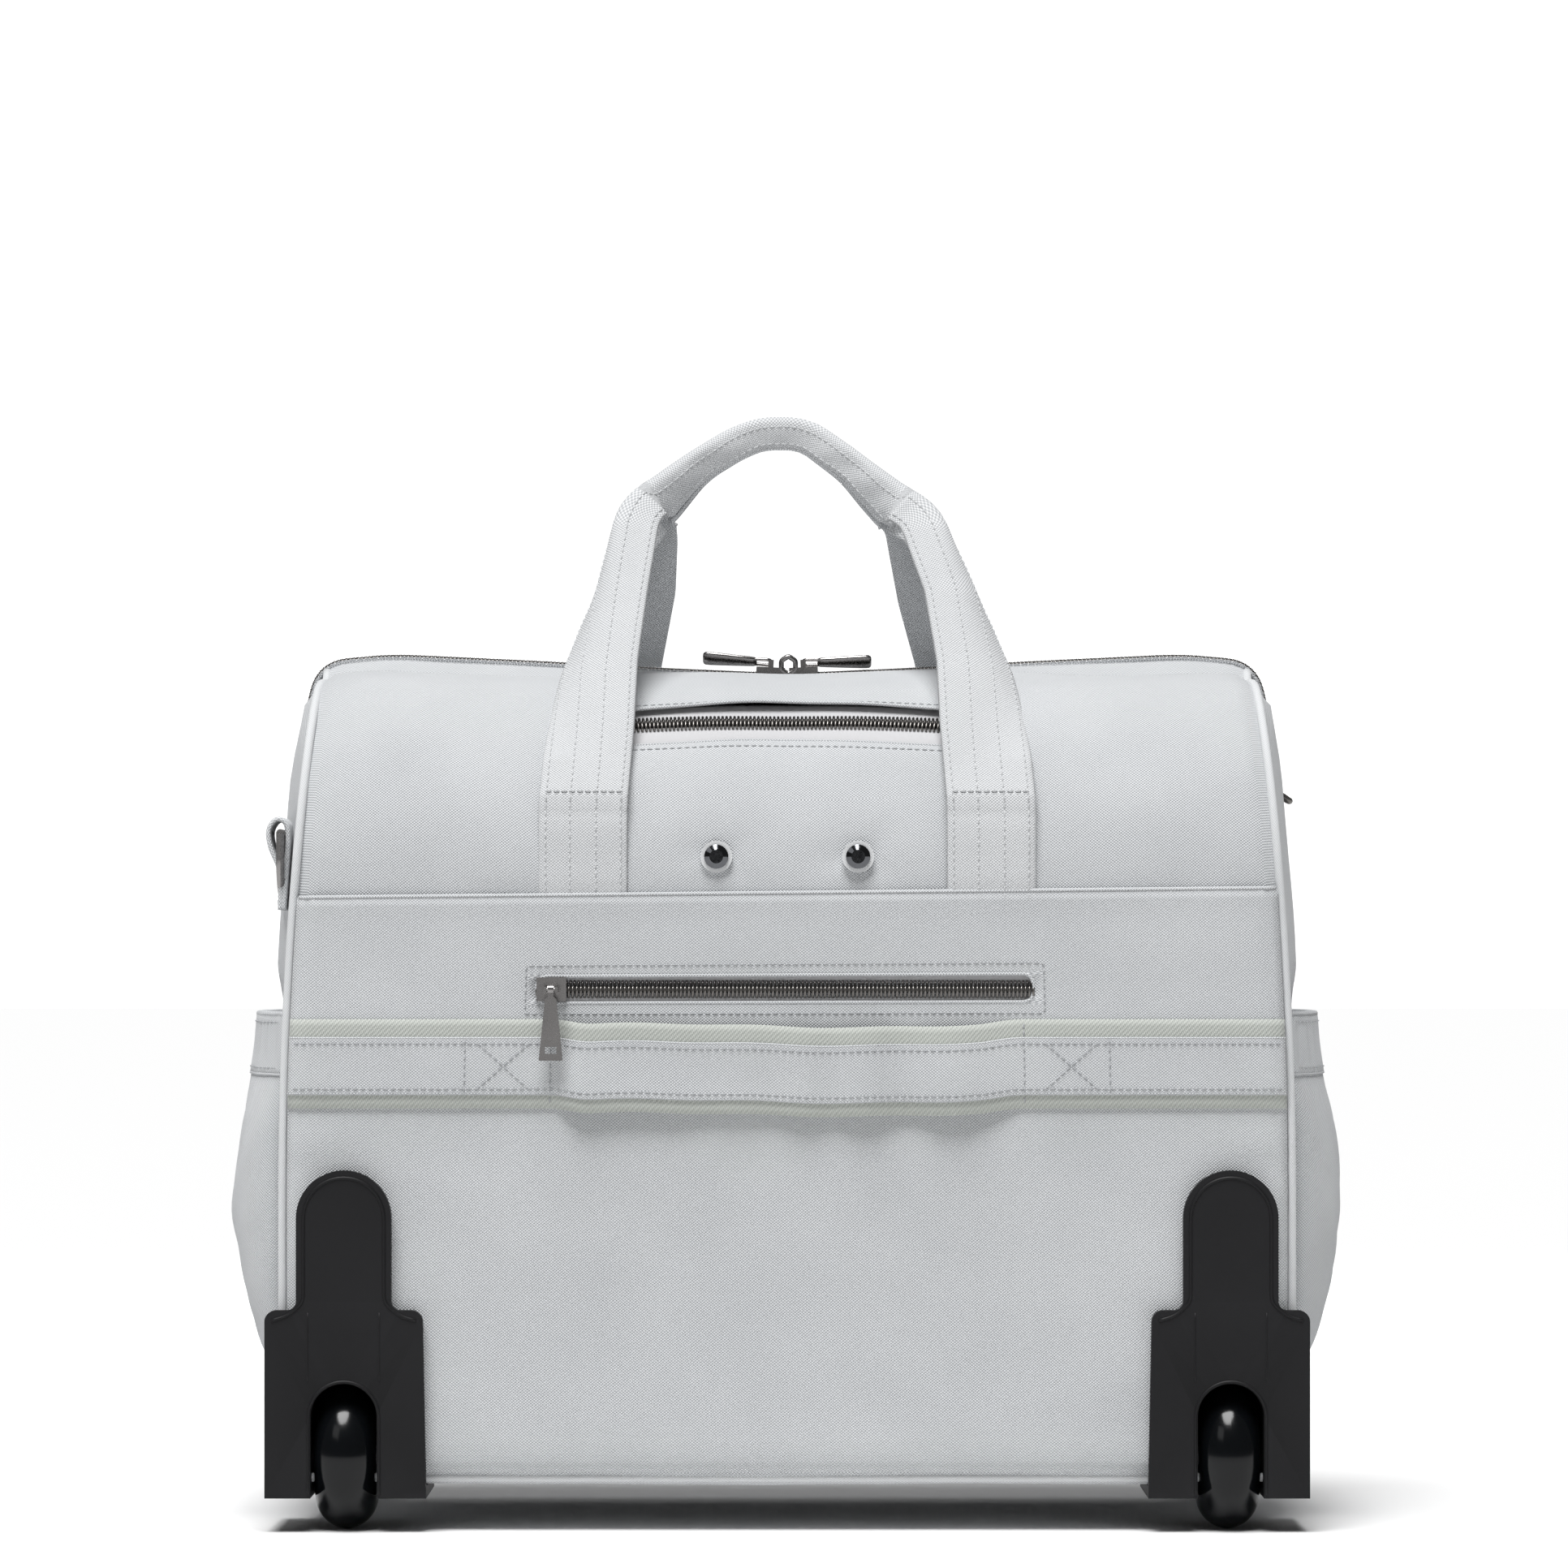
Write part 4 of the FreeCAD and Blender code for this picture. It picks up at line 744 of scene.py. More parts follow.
def pocket_x(u, v):
    """Where a distance across the back pocket lies: the pocket narrows with the bag."""
    return u / POCKET_HALF * (half_width(v) - PIPE - 1.2)


def back_pocket_point(u, v):
    """u is a distance across, v a height on the pocket that covers the lower back."""
    x = pocket_x(u, v)
    tilt = 2.1 * (u / POCKET_HALF) * smoothstep(v, 205, POCKET_TOP)
    points = xyz(x, 0, v + tilt)
    room = half_width(v) - PIPE - np.abs(x)
    depth = 0.6 + 2.7 * smoothstep(room, 0, 8) + 0.5 * smoothstep(v, POCKET_TOP - 12, POCKET_TOP)
    depth = depth + 0.40 * ripple(points, 120, 3) * smoothstep(room, 2, 25)
    depth = depth + 0.16 * ripple(points, 40, 8)
    depth = depth - 0.5 * mound(np.abs(u), 206, 14) * mound(v, 160, 30) * np.cos(v / 4.2)
    depth = depth - 0.35 * mound(v, 237, 12) * (1 - smoothstep(np.abs(u), 60, 200))
    depth = depth - 1.6 * (1 - smoothstep(v, POCKET_LOW, POCKET_LOW + 8))
    points[..., 1] = -BACK - depth
    return points


def over_well(middle):
    """Where the pocket's low corners are cut away, behind the wheel housings."""
    return (np.abs(middle[..., 0]) > 174) & (middle[..., 2] < 70)


WINDOW = (-111.0, 109.0, 231.0, 243.5)
us = spread([-POCKET_HALF, -200, *WINDOW[:2], 200, POCKET_HALF], 4.5)
vs = spreads(([POCKET_LOW, 224], 5), ([224, *WINDOW[2:], 250], 1.6), ([250, POCKET_TOP], 4.5))
back_pocket = panel("back_pocket_cloth", back_pocket_point, us, vs, "fabric", TO_BACK, WINDOW,
                    missing=over_well)
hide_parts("back_pocket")
edge_u = np.linspace(-218, 218, 120)
hem_line = back_pocket_point(edge_u, np.full_like(edge_u, POCKET_TOP)) + (0, 0.9, 0)
tube("back_pocket_hem", hem_line, 1.15, "fabric", sides=10)
welt("pocket_zip_welt", back_pocket_point, WINDOW, 0.55)
tape = zip_behind("pocket_zip_tape_cloth", -114, 112, 227.5, 246.5, -111.1, TO_BACK)
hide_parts("pocket_zip_tape")
coil = zip_teeth("pocket_zip_teeth", [(-109.5, -111.3, 237), (107.5, -111.3, 237)], TO_BACK)
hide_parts("pocket_zip_coil")
rows = [sewn(back_pocket_point, box_corners(-115.5, 113.5, 226.5, 248), TO_BACK, 1.5)]
stitch_rows("back_pocket_stitching", rows)


# ---------------------------------------------------------------- grab band across the back
BAND_LOW, BAND_HIGH = 185, 224
COVER_LOW, COVER_HIGH = 191, 216
BAND_SEWN = 104


def band_height(u):
    """How far the loose middle of the band hangs off the pocket."""
    loose = 1 - smoothstep(np.abs(u), 90, 103)
    right = smoothstep(u, -20, 60)
    wave = np.sin(u / 5.2 + 1.2 * np.sin(u / 23)) * (0.3 + 1.25 * right) + 0.6 * np.sin(u / 17.0)
    return loose * (3.6 + wave)


def band_drop(u):
    """How far the loose middle hangs down."""
    loose = 1 - smoothstep(np.abs(u), 84, BAND_SEWN)
    return -loose * (2.6 + 0.9 * np.sin(u / 29 + 0.6) + 0.35 * np.sin(u / 9.0))


def band_point(base):
    """A layer of the band, so far off the pocket where it is sewn down."""

    def point(u, v):
        under = -back_pocket_point(u, v)[..., 1] - BACK
        curl = 0.5 * np.sin((v - 204) / 9 + u / 31) * (1 - smoothstep(np.abs(u), 90, 103))
        y = -BACK - under - base - band_height(u) - curl
        return xyz(pocket_x(u, v), y, v + band_drop(u))

    return point


web_point, cover_point = band_point(1.15), band_point(2.3)
us = spread([-POCKET_HALF, -103, -60, 103, POCKET_HALF], 2.6)
vs = spread([BAND_LOW, BAND_HIGH], 3)
webbing = panel("grab_webbing_cloth", web_point, us, vs, "webbing", TO_BACK, thickness=1.2)
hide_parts("grab_webbing")
vs = spread([COVER_LOW, COVER_LOW + 1, COVER_HIGH - 1, COVER_HIGH], 2.6)
cover = panel("grab_cover_cloth", cover_point, us, vs, "fabric", TO_BACK, thickness=1.1)
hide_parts("grab_cover")
for v, word in ((COVER_LOW + 0.3, "low"), (COVER_HIGH - 0.3, "high")):
    line = cover_point(us, np.full_like(us, v)) + (0, 0.45, 0)
    tube(f"grab_cover_fold_{word}", line, 0.55, "fabric", sides=7)
rows = [sewn(cover_point, [(-217, v), (217, v)], TO_BACK) for v in (193.6, 213.4)]
for side in (-1, 1):
    # a stitched box with a cross in it at each end of the loose part
    inner, outer = side * BAND_SEWN, side * 141.5
    middle = inner * 0.45 + outer * 0.55
    runs = [
        (web_point, [(inner, 186.5), (inner, 191)]),
        (cover_point, [(inner, 191.5), (inner, 215.5)]),
        (web_point, [(inner, 216.3), (inner, 222.5)]),
        (cover_point, [(outer, 191.5), (outer, 215.5)]),
        (cover_point, [(middle - 12, 193), (middle + 12, 214)]),
        (cover_point, [(middle - 12, 214), (middle + 12, 193)]),
    ]
    rows += [sewn(point, run, TO_BACK) for point, run in runs]
stitch_rows("grab_band_stitching", rows)


# ---------------------------------------------------------------- front pocket
POUCH_HALF_U, POUCH_HALF_V, POUCH_MIDDLE, POUCH_CORNER = 185.0, 103.5, 158.5, 20.0
POUCH_LOW, POUCH_TOP = POUCH_MIDDLE - POUCH_HALF_V, POUCH_MIDDLE + POUCH_HALF_V


def pouch_point(u, v):
    """The front pocket: a rounded rectangle of padded cloth, sewn down round its edge."""
    a, b = np.abs(u), np.abs(v - POUCH_MIDDLE)
    over_a, over_b = a - (POUCH_HALF_U - POUCH_CORNER), b - (POUCH_HALF_V - POUCH_CORNER)
    in_corner = (over_a > 0) & (over_b > 0)
    most = np.maximum(over_a, over_b)
    pull = np.where(in_corner, most / np.maximum(np.hypot(over_a, over_b), 1e-6), 1)
    new_a = np.where(in_corner, POUCH_HALF_U - POUCH_CORNER + over_a * pull, a)
    new_b = np.where(in_corner, POUCH_HALF_V - POUCH_CORNER + over_b * pull, b)
    room = np.where(in_corner, POUCH_CORNER - most, np.minimum(POUCH_HALF_U - a, POUCH_HALF_V - b))
    points = xyz(np.sign(u) * new_a, 0, POUCH_MIDDLE + np.sign(v - POUCH_MIDDLE) * new_b)
    edge = np.sqrt(np.clip(1 - (1 - np.clip(room / 7.0, 0, 1)) ** 2, 0, 1))
    depth = 0.4 + 6.4 * edge + 1.4 * smoothstep(room, 6, 60) + 0.35 * ripple(points, 90, 41) * edge
    depth = depth + 0.25 * ripple(points, 22, 44) * edge * (1 - smoothstep(room, 8, 26))
    depth = depth - 0.8 * mound(v, 230, 13) * (1 - smoothstep(np.abs(u), 140, 165))
    points[..., 1] = BACK + depth
    return points


FRONT_WINDOW = (-147.0, 147.0, 223.5, 236.5)
us = spreads(([-POUCH_HALF_U, -178], 1.2), ([-178, *FRONT_WINDOW[:2], 178], 4.6),
             ([178, POUCH_HALF_U], 1.2))
vs = spreads(([POUCH_LOW, 62], 1.2), ([62, 217], 5), ([217, *FRONT_WINDOW[2:], 243], 1.6), ([243, 255], 4),
             ([255, POUCH_TOP], 1.2))
front_pocket = panel("front_pocket_cloth", pouch_point, us, vs, "fabric", TO_FRONT, FRONT_WINDOW)
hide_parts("front_pocket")
welt("front_zip_welt", pouch_point, FRONT_WINDOW, -0.55)
tape = zip_behind("front_zip_tape_cloth", -150, 150, 220.5, 239.5, 114.6, TO_FRONT)
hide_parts("front_zip")
zip_teeth("front_zip_teeth", [(-145.5, 114.8, 230), (145.5, 114.8, 230)], TO_FRONT)
rows = [sewn(pouch_point, box_corners(-151, 151, 219, 241), TO_FRONT, 1.5),
        sewn(pouch_point, box_corners(-178, 178, 62, 255), TO_FRONT, 12)]
stitch_rows("front_pocket_stitching", rows)


# ---------------------------------------------------------------- the trolley's own zip
def shoulder(share, angle, radius=SHOULDER_R):
    """A point on the back shoulder: a share of the width, an angle up from the vertical back, a radius."""
    turn = np.radians(angle)
    x = share * cloth_half(SHOULDER_Z + SHOULDER_R * np.sin(turn) + SAG)
    y, z = -SHOULDER_Y - radius * np.cos(turn), SHOULDER_Z + rise(x) + radius * np.sin(turn)
    return xyz(x, y, z)


def shoulder_out(angle):
    """The way the shoulder faces at an angle."""
    turn = np.radians(angle)
    return xyz(0, -np.cos(turn), np.sin(turn))


def bow(ends, middle):
    """An angle that rises from its value at the straps to its value in the middle."""
    return lambda share: ends + (middle - ends) * np.cos(np.clip(share / 0.36, -1, 1) * math.pi / 2)


def fixed(angle):
    return lambda share: angle + 0 * share


def lip_point(low, high, dip):
    """Cloth on the shoulder between two lines, dipping or standing up at its free edge."""

    def point(u, v):
        angle = low(u) + (high(u) - low(u)) * v
        base = shoulder(u, angle)
        amount = swelling(base, -1) + dip * mound(v, 1, 0.12)
        return base + shoulder_out(angle) * amount[..., None]

    return point


def tape_point(low, high, radius):
    """The zip's tape on one side of its coil, a little full in the middle."""

    def point(u, v):
        return shoulder(u, low(u) + (high(u) - low(u)) * v, radius + 0.5 * np.sin(v * math.pi))

    return point


UP_BACK = (0, -1, 0.6)
slit_share = ACROSS[np.abs(ACROSS) <= SLIT_SHARE + 1e-9]
coil_angle, lower_edge, upper_edge = bow(44.6, 48.6), bow(37.0, 41.2), bow(48.8, 55.0)
lower_lip = lip_point(fixed(LIP_LOW), lower_edge, -0.5)
upper_lip = lip_point(fixed(LIP_HIGH), upper_edge, 1.3)
lower_web = tape_point(lambda share: lower_edge(share) - 2.5, lambda share: coil_angle(share) - 0.6, 93.4)
upper_web = tape_point(lambda share: coil_angle(share) + 0.6, lambda share: upper_edge(share) + 3.0, 93.2)


def lip_facing(point, u, v):
    return facing_of(point, u, v, UP_BACK, 0.002)


def lip_piece(name, point, step):
    u, v = np.meshgrid(slit_share, spread([0, 0.85, 1], step))
    return grid_piece(name, point(u, v), "fabric", normals=lip_facing(point, u, v))


def slit_tape(name, point):
    return panel(name, point, slit_share, np.linspace(0, 1, 8), "tape", UP_BACK, thickness=0.8)


def lip_finish(name, point, at, lift):
    """The folded edge of a lip and the row of stitches behind it."""
    edge = point(slit_share, np.full_like(slit_share, 0.985)) + lift
    fold = tube(f"{name}_fold", even(edge, 2.5), 0.75, "fabric", up=(0, -1, 1))
    spot = np.full_like(slit_share, at)
    row = (point(slit_share, spot), lip_facing(point, slit_share, spot))
    return fold, stitch_rows(f"{name}_stitching", [row])


lower = lip_piece("trolley_zip_lip_lower", lower_lip, 0.09)
upper = lip_piece("trolley_zip_lip_upper", upper_lip, 0.11)
lower_tape = slit_tape("trolley_zip_tape_lower", lower_web)
upper_tape = slit_tape("trolley_zip_tape_upper", upper_web)
share = np.linspace(-0.4, 0.4, 60)
line = shoulder(share, coil_angle(share), 93.7)
trolley_teeth = zip_teeth("trolley_zip_teeth", line, shoulder_out(coil_angle(share)), half=3.5)
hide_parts("trolley_zip_tape")
lower_finish = lip_finish("trolley_zip_seam", lower_lip, 0.86, (0, 0.35, -0.3))
upper_finish = lip_finish("trolley_zip_flap", upper_lip, 0.75, (0, 0.35, -0.2))

# the seams at the foot of the two lips, between which the trolley comes out, and the way from one to the
# other; each lip's pieces get a mesh of their own
fold_low, fold_high = (shoulder(np.float64(0), np.float64(angle)) * MM for angle in (LIP_LOW, LIP_HIGH))
opening = tuple(unit(fold_high - fold_low))
for fold, pieces in (
    (fold_low, (lower, lower_tape, trolley_teeth, *lower_finish)),
    (fold_high, (upper, upper_tape, *upper_finish)),
):
    for piece in pieces:
        tuple(fold)
        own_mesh(piece)


# ---------------------------------------------------------------- the main zip
ZIP_END = 322  # how low the zip runs on each end of the bag
GUSSET_FOLD_Y, GUSSET_STITCH_Y, GUSSET_END_Y = 8.6, 11.2, 10.4  # from the zip's middle


def zip_route(lift):
    """The main zip's line from low on the left end, over the top, to low on the right end."""
    out = lift + 0.6
    right = [(float(end_wall(0, z)) + out, 0, z) for z in (ZIP_END, 340, 358)]
    right.append((float(end_wall(0, 386)) + out - 1.0, 0, CREST + float(rise(205)) + lift))
    top = [(x, 0, CREST + float(rise(x)) + lift - 0.6 + 0.5 * float(smoothstep(x, 50, 120)))
           for x in np.linspace(186, 0, 40)]
    half = np.vstack([rounded(right + top[:1], 17, 9)[:-1], top])
    return np.vstack([half * (-1, 1, 1), half[::-1][1:]])


route = even(zip_route(-0.4), 3)
outward = np.gradient(route, axis=0)
outward = xyz(-outward[:, 2], 0, outward[:, 0])
outward = unit(outward * np.sign((outward * (route - (0, 0, 150.0))).sum(1))[:, None])
across = np.broadcast_to([0.0, 1.0, 0.0], route.shape)
outline = flat_section(15.5, 0.9, 0.4, 14)
main_tape = sweep("main_zip_tape_cloth", route, across, outward, outline, "tape", turn=True)
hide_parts("main_zip_tape")
main_teeth = zip_teeth("main_zip_teeth", zip_route(0.0), outward, half=3.3)
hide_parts("main_zip_coil")
rows = []
for side, word in FACES:
    edge = route + (0, side * GUSSET_FOLD_Y, 0) + outward * 0.35
    tube(f"zip_gusset_fold_{word}", edge, 0.9, "fabric", up=(0, 1, 0.01))
    rows.append((route[8:-8] + (0, side * GUSSET_STITCH_Y, 0) + outward[8:-8] * 0.75, outward[8:-8]))
stitch_rows("zip_gusset_stitching", rows)
stub = float(end_wall(0, ZIP_END + 1)) + 1.5
loop = [(stub, -2.6, 325), (stub + 4.6, -2.6, 322), (stub + 4.6, 2.6, 322), (stub, 2.6, 325)]
tube("main_zip_end", even(rounded(loop, 1.5, 4), 0.8), 1.5, "coil", up=(0, 0.1, 1))
for end, end_word in ENDS:
    for side, word in FACES:
        y = side * GUSSET_END_Y
        heights = np.linspace(ZIP_END, 366, 14)
        points = np.array([(end * (float(end_wall(y, z)) + 0.7), y, z) for z in heights])
        facing = np.broadcast_to([end, 0, 0.08], points.shape)
        across = np.broadcast_to([0.0, 1.0, 0.0], points.shape)
        name = f"end_zip_gusset_{end_word}_{word}"
        sweep(name, points, across, facing, flat_section(5.5, 1.4, 0.5, 6), "fabric", turn=True)


# ---------------------------------------------------------------- side pockets
SIDE_HALF, SIDE_LOW, SIDE_TOP = 93, 58, 226


def side_pocket_point(side):
    """A slack pocket on one end of the bag: it bellies out low down and is gathered at its mouth."""
    heights = [SIDE_LOW, 62, 70, 85, 105, 140, 170, 190, 200, 213, SIDE_TOP]
    bulge = [0.6, 5, 10.5, 17, 22.5, 26.5, 24.5, 21, 18.5, 17.5, 17]

    def point(u, v):
        full = sum(np.interp(v + step, heights, bulge) for step in (-14, -9, -4, 0, 4, 9, 14)) / 7
        sharp = np.maximum(1 - smoothstep(v, SIDE_LOW, 74), smoothstep(v, 205, 222))
        full = full + (np.interp(v, heights, bulge) - full) * sharp
        tight = smoothstep(v, 178, 206)
        edge = np.clip(np.abs(u) / SIDE_HALF, 0, 1)
        shape = (1 - edge ** (3.4 - 1.2 * tight)) ** (0.55 + 0.2 * tight)
        points = xyz(0, u * (1 - 0.05 * smoothstep(v, 150, 60)), v)
        gather = 0.9 * np.sin(u / 2.7 + 1.5 * np.sin(u / 11)) + 0.5 * np.sin(u / 6.1)
        gather = tight * gather * smoothstep(1 - edge, 0, 0.1)
        drape = (1 - tight) * (0.9 * ripple(points, 45, 61 + side) + 0.5 * ripple(points, 22, 67)) * shape
        low_part = smoothstep(v, 205, 150) * smoothstep(v, 95, 150)
        folds = 2.2 * low_part * np.sin(u / 8.5 + v / 40) * smoothstep(edge, 0.35, 0.8) * (1 - edge)
        points[..., 0] = side * (half_width(v) - 0.8 + full * shape + gather + drape + folds)
        return points

    return point


for side, word in ENDS:
    out = (side, 0, 0)
    point = side_pocket_point(side)
    us = spread([-SIDE_HALF, -88, 88, SIDE_HALF], 2.6)
    vs = spread([SIDE_LOW, 66, 201], 4)
    pocket = panel(f"side_pocket_{word}_cloth", point, us, vs, "fabric", out, thickness=1.2)
    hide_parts(f"side_pocket_{word}")

    def hem_point(u, v, point=point, side=side):
        return point(u, v) + (side * 0.7, 0, 0)

    vs = spread([199, 202, SIDE_TOP], 3)
    hem = panel(f"side_pocket_{word}_hem", hem_point, us, vs, "fabric", out, thickness=2.2)
    if side < 0:
        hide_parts("pocket_hems")
    rolls = (("binding", point, SIDE_TOP, 1.25, 8), ("fold", hem_point, 199.4, 0.6, 7))
    for part, source, v, radius, sides in rolls:
        edge = source(us, np.full_like(us, v)) + (-side * 0.4, 0, 0)
        tube(f"side_pocket_{word}_{part}", edge, radius, "fabric", sides=sides)
    rows = [sewn(hem_point, [(-88, v), (88, v)], out) for v in (202.2, 222.5)]
    rows.append(sewn(point, [(-86, 66), (86, 66)], out))
    stitch_rows(f"side_pocket_{word}_stitching", rows)


# ---------------------------------------------------------------- ring loops on the ends
for (side, word), y in zip(ENDS, (-60.0, 75.0)):
    wall = {z: float(end_wall(y, z)) for z in (272, 282, 290, 296, 274.5, 286.5)}
    path = [(wall[272] + 0.5, 272), (wall[296] + 0.6, 296), (221.2, 304), (222.0, 311.2), (226.6, 313),
            (230.4, 308), (229.4, 300), (wall[290] + 3.4, 291), (wall[282] + 2.0, 282),
            (wall[272] + 1.8, 272)]
    line = even(rounded([(side * x, y, z) for x, z in path], 4, 5), 1.5)
    across, above = frames_along(line, TO_FRONT)
    outline = flat_section(23.5, 2.3, 1.0, 10)
    loop = sweep(f"ring_loop_{word}", line, above, across, outline, "strap", turn=True)
    if side < 0:
        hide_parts("ring_tabs")
    corner = {(v, at): (side * (wall[v] + 2.8), y + at, v) for v in (274.5, 286.5) for at in (-10, 10)}
    runs = [[(274.5, -10), (274.5, 10)], [(286.5, -10), (286.5, 10)],
            [(274.5, -10), (286.5, -10)], [(274.5, 10), (286.5, 10)]]
    rows = [([corner[start], corner[end]], (side, 0, 0)) for start, end in runs]
    stitch_rows(f"ring_loop_{word}_stitching", rows, pitch=2.6)


# ---------------------------------------------------------------- carrying handles
STRAP_WIDTH, STRAP_THICK = 38.0, 2.7
STRAP_LIFT = 3.0  # how far the strap's plane stands off the hinge
STITCH_LINES = (2.6, 13.4, 24.8, 35.4)  # from the strap's inner edge


def handle_plane(local, side, out):
    """A point of the handle's own plane, which leans in over the bag, lifted off it towards the outside."""
    h = local[..., 1]
    y = -HANDLE_Y + h * math.sin(HANDLE_LEAN) - out * math.cos(HANDLE_LEAN)
    z = HANDLE_Z + h * math.cos(HANDLE_LEAN) + out * math.sin(HANDLE_LEAN)
    return xyz(local[..., 0], -side * y, z)


def strap_foot(side, end, section):
    """Below the sewn line the strap lies on the shoulder, down to behind the pocket."""
    heights = np.linspace(276, 314, 12)
    up = np.clip((heights - SHOULDER_Z - float(rise(89))) / SHOULDER_R, 0, 1)
    outs = xyz(0, side * np.sqrt(1 - up**2), up)
    y = side * (SHOULDER_Y + SHOULDER_R * np.sqrt(1 - up**2))
    off = 2.3 - 0.9 * smoothstep(283 - heights, 0, 6) + 2.0 * smoothstep(heights, 292, 314)
    base = xyz(end * HANDLE_X, y, heights) + outs * off[:, None]
    toward = np.broadcast_to([end * 1.0, 0, 0], base.shape)
    return base, toward, outs, np.broadcast_to(section, (len(base), *section.shape))


def handle(side, word):
    """A strap sewn to the shoulder, rising flat, folded in half lengthwise into the grip."""
    top = [(31, 163.5), (17, 176.5), (3, 188.5), (-9, 188.5), (-17, 184.5), (-33, 172.5)]
    if side < 0:
        right = [(70, 2), (67.6, 40), (66.5, 74), (61.5, 112), (51.5, 146), (46, 150.5)]
        left = [(-55.5, 153), (-58, 148), (-62.5, 112), (-66.5, 74), (-67.6, 40), (-70, 2)]
    else:
        right = [(70, 2), (66.5, 40), (60, 80), (52, 112), (47.5, 138), (45.5, 150)]
        left = [(-51.5, 154), (-50.8, 146), (-52, 118), (-59, 78), (-66.5, 40), (-70, 2)]
    line = even(rounded([(*p, 0) for p in right + top + left], 3, 5), 2.2)[:, :2]
    x, h = line.T

    # the way from the strap's inner edge to its outer one: level at the feet, square to the line above
    tangent = unit(np.gradient(line, axis=0))
    outward = np.stack([tangent[:, 1], -tangent[:, 0]], axis=1)
    outward *= np.sign(outward[:, 0] * x + outward[:, 1] * (h - 60))[:, None]
    square = smoothstep(h, 60, 120)[:, None]
    outward = unit(outward * square + np.stack([np.sign(x), 0 * h], axis=1) * (1 - square))

    # how the strap is folded at each station, by its distance from the nearer foot
    gone = travelled(line)
    far = np.minimum(gone, gone[-1] - gone)
    fold = np.radians(np.interp(far, [20, 72, 110, 140, 150, 161], [0, 45, 78, 98, 122, 180]))
    spare = np.interp(far, [100, 150], [32, 7.5])
    grip = smoothstep(far, 146, 162)
    hang = np.radians(54 - 18 * smoothstep(x, -40, -8) + 8 * smoothstep(x, 6, 40))
    hang = hang * smoothstep(far, 153, 158)
    tight = 1 - 0.30 * smoothstep(far, 154, 190)
    wave = ripple(np.hstack([line, np.full((len(line), 1), 17.0 * side)]), 26, 71)
    spans = np.linspace(0, STRAP_WIDTH, 32)
    step = spans[1] - spans[0]

    def middle_of(i):
        """The strap's middle surface at a station: distances out in the handle's plane and lifts off it."""
        direction = fold[i] * smoothstep(spans, (STRAP_WIDTH - spare[i]) / 2, (STRAP_WIDTH + spare[i]) / 2)
        mean = (direction[1:] + direction[:-1]) / 2
        a = np.concatenate([[0], np.cumsum(np.cos(mean) * step)])
        b = -np.concatenate([[0], np.cumsum(np.sin(mean) * step)])
        front_half = np.clip(spans / (STRAP_WIDTH / 2), 0, 1)
        crimp = 1.2 * wave[i] + 0.7 * np.sin(far[i] / 3.4 + 2.2 * front_half + side)
        b = b + grip[i] * np.sin(front_half * math.pi) * (1.1 + crimp)
        sway = np.sin(spans / STRAP_WIDTH * 2 * math.pi + far[i] / 30)
        b = b + 0.5 * sway * smoothstep(far[i], 8, 40) * (1 - grip[i])
        crease_a, crease_b = (np.interp(STRAP_WIDTH / 2, spans, c) for c in (a, b))
        cos, sin = math.cos(hang[i]), math.sin(hang[i])
        da, db = (a - crease_a) * tight[i], (b - crease_b) * tight[i]
        return np.stack([crease_a + da * cos - db * sin, crease_b + da * sin + db * cos], axis=1)

    cover = 0.45 * smoothstep(np.minimum(spans, STRAP_WIDTH - spans), 1.3, 2.2)
    sections, places, facings = [], [], []
    for i in range(len(line)):
        spine = middle_of(i)
        way = unit(np.gradient(spine, axis=0))
        normal = np.stack([-way[:, 1], way[:, 0]], axis=1)
        front = spine + normal * (STRAP_THICK / 2 - 0.4 + cover)[:, None]
        back = spine - normal * (STRAP_THICK / 2 - 0.1)
        first, last = spine[:1] - way[:1] * 0.5, spine[-1:] + way[-1:] * 0.5
        sections.append(np.vstack([front, last, back[::-1], first]))
        places.append(read_at(STITCH_LINES, spans, front))
        facings.append(read_at(STITCH_LINES, spans, normal))

    origins = handle_plane(line, side, STRAP_LIFT)
    toward = handle_plane(line + outward, side, STRAP_LIFT) - origins
    up = handle_plane(line, side, STRAP_LIFT + 1) - origins
    starts, ends = strap_foot(side, 1, sections[0]), strap_foot(side, -1, sections[0])
    lead = len(starts[0])
    middle = (origins, toward, up, np.array(sections))
    parts = [np.concatenate([a, b, c[::-1]]) for a, b, c in zip(starts, middle, ends)]
    origins, toward, up, sections = parts
    body = f"handle_{word}"
    piece = sweep(f"{body}_strap", origins, toward, up, sections, "strap", body=None)

    # four rows of stitches along the strap, and two across each foot
    stations = np.clip(np.arange(len(origins)) - lead, 0, len(places) - 1)
    places, facings = np.array(places)[stations], np.array(facings)[stations]
    lines = []
    for k in range(len(STITCH_LINES)):
        points = origins + toward * places[:, k, :1] + up * (places[:, k, 1:] - 0.05)
        lines.append((points, toward * facings[:, k, :1] + up * facings[:, k, 1:]))
    across = np.linspace(1.8, 36.2, 12)[:, None]
    for at in (lead + 1, len(origins) - lead - 2):
        for shift in (-0.5, 0.9):
            points = origins[at] + (0, 0, shift) + toward[at] * across + up[at] * 1.45
            lines.append((points, up[at]))
    threads = stitch_rows(f"{body}_stitching", lines, body=None, look="strap_thread")
    for part in (piece, threads):
        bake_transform(part)
    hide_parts(body)
    if side < 0:
        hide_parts("strap_anchors")


for side, word in FACES:
    handle(side, word)


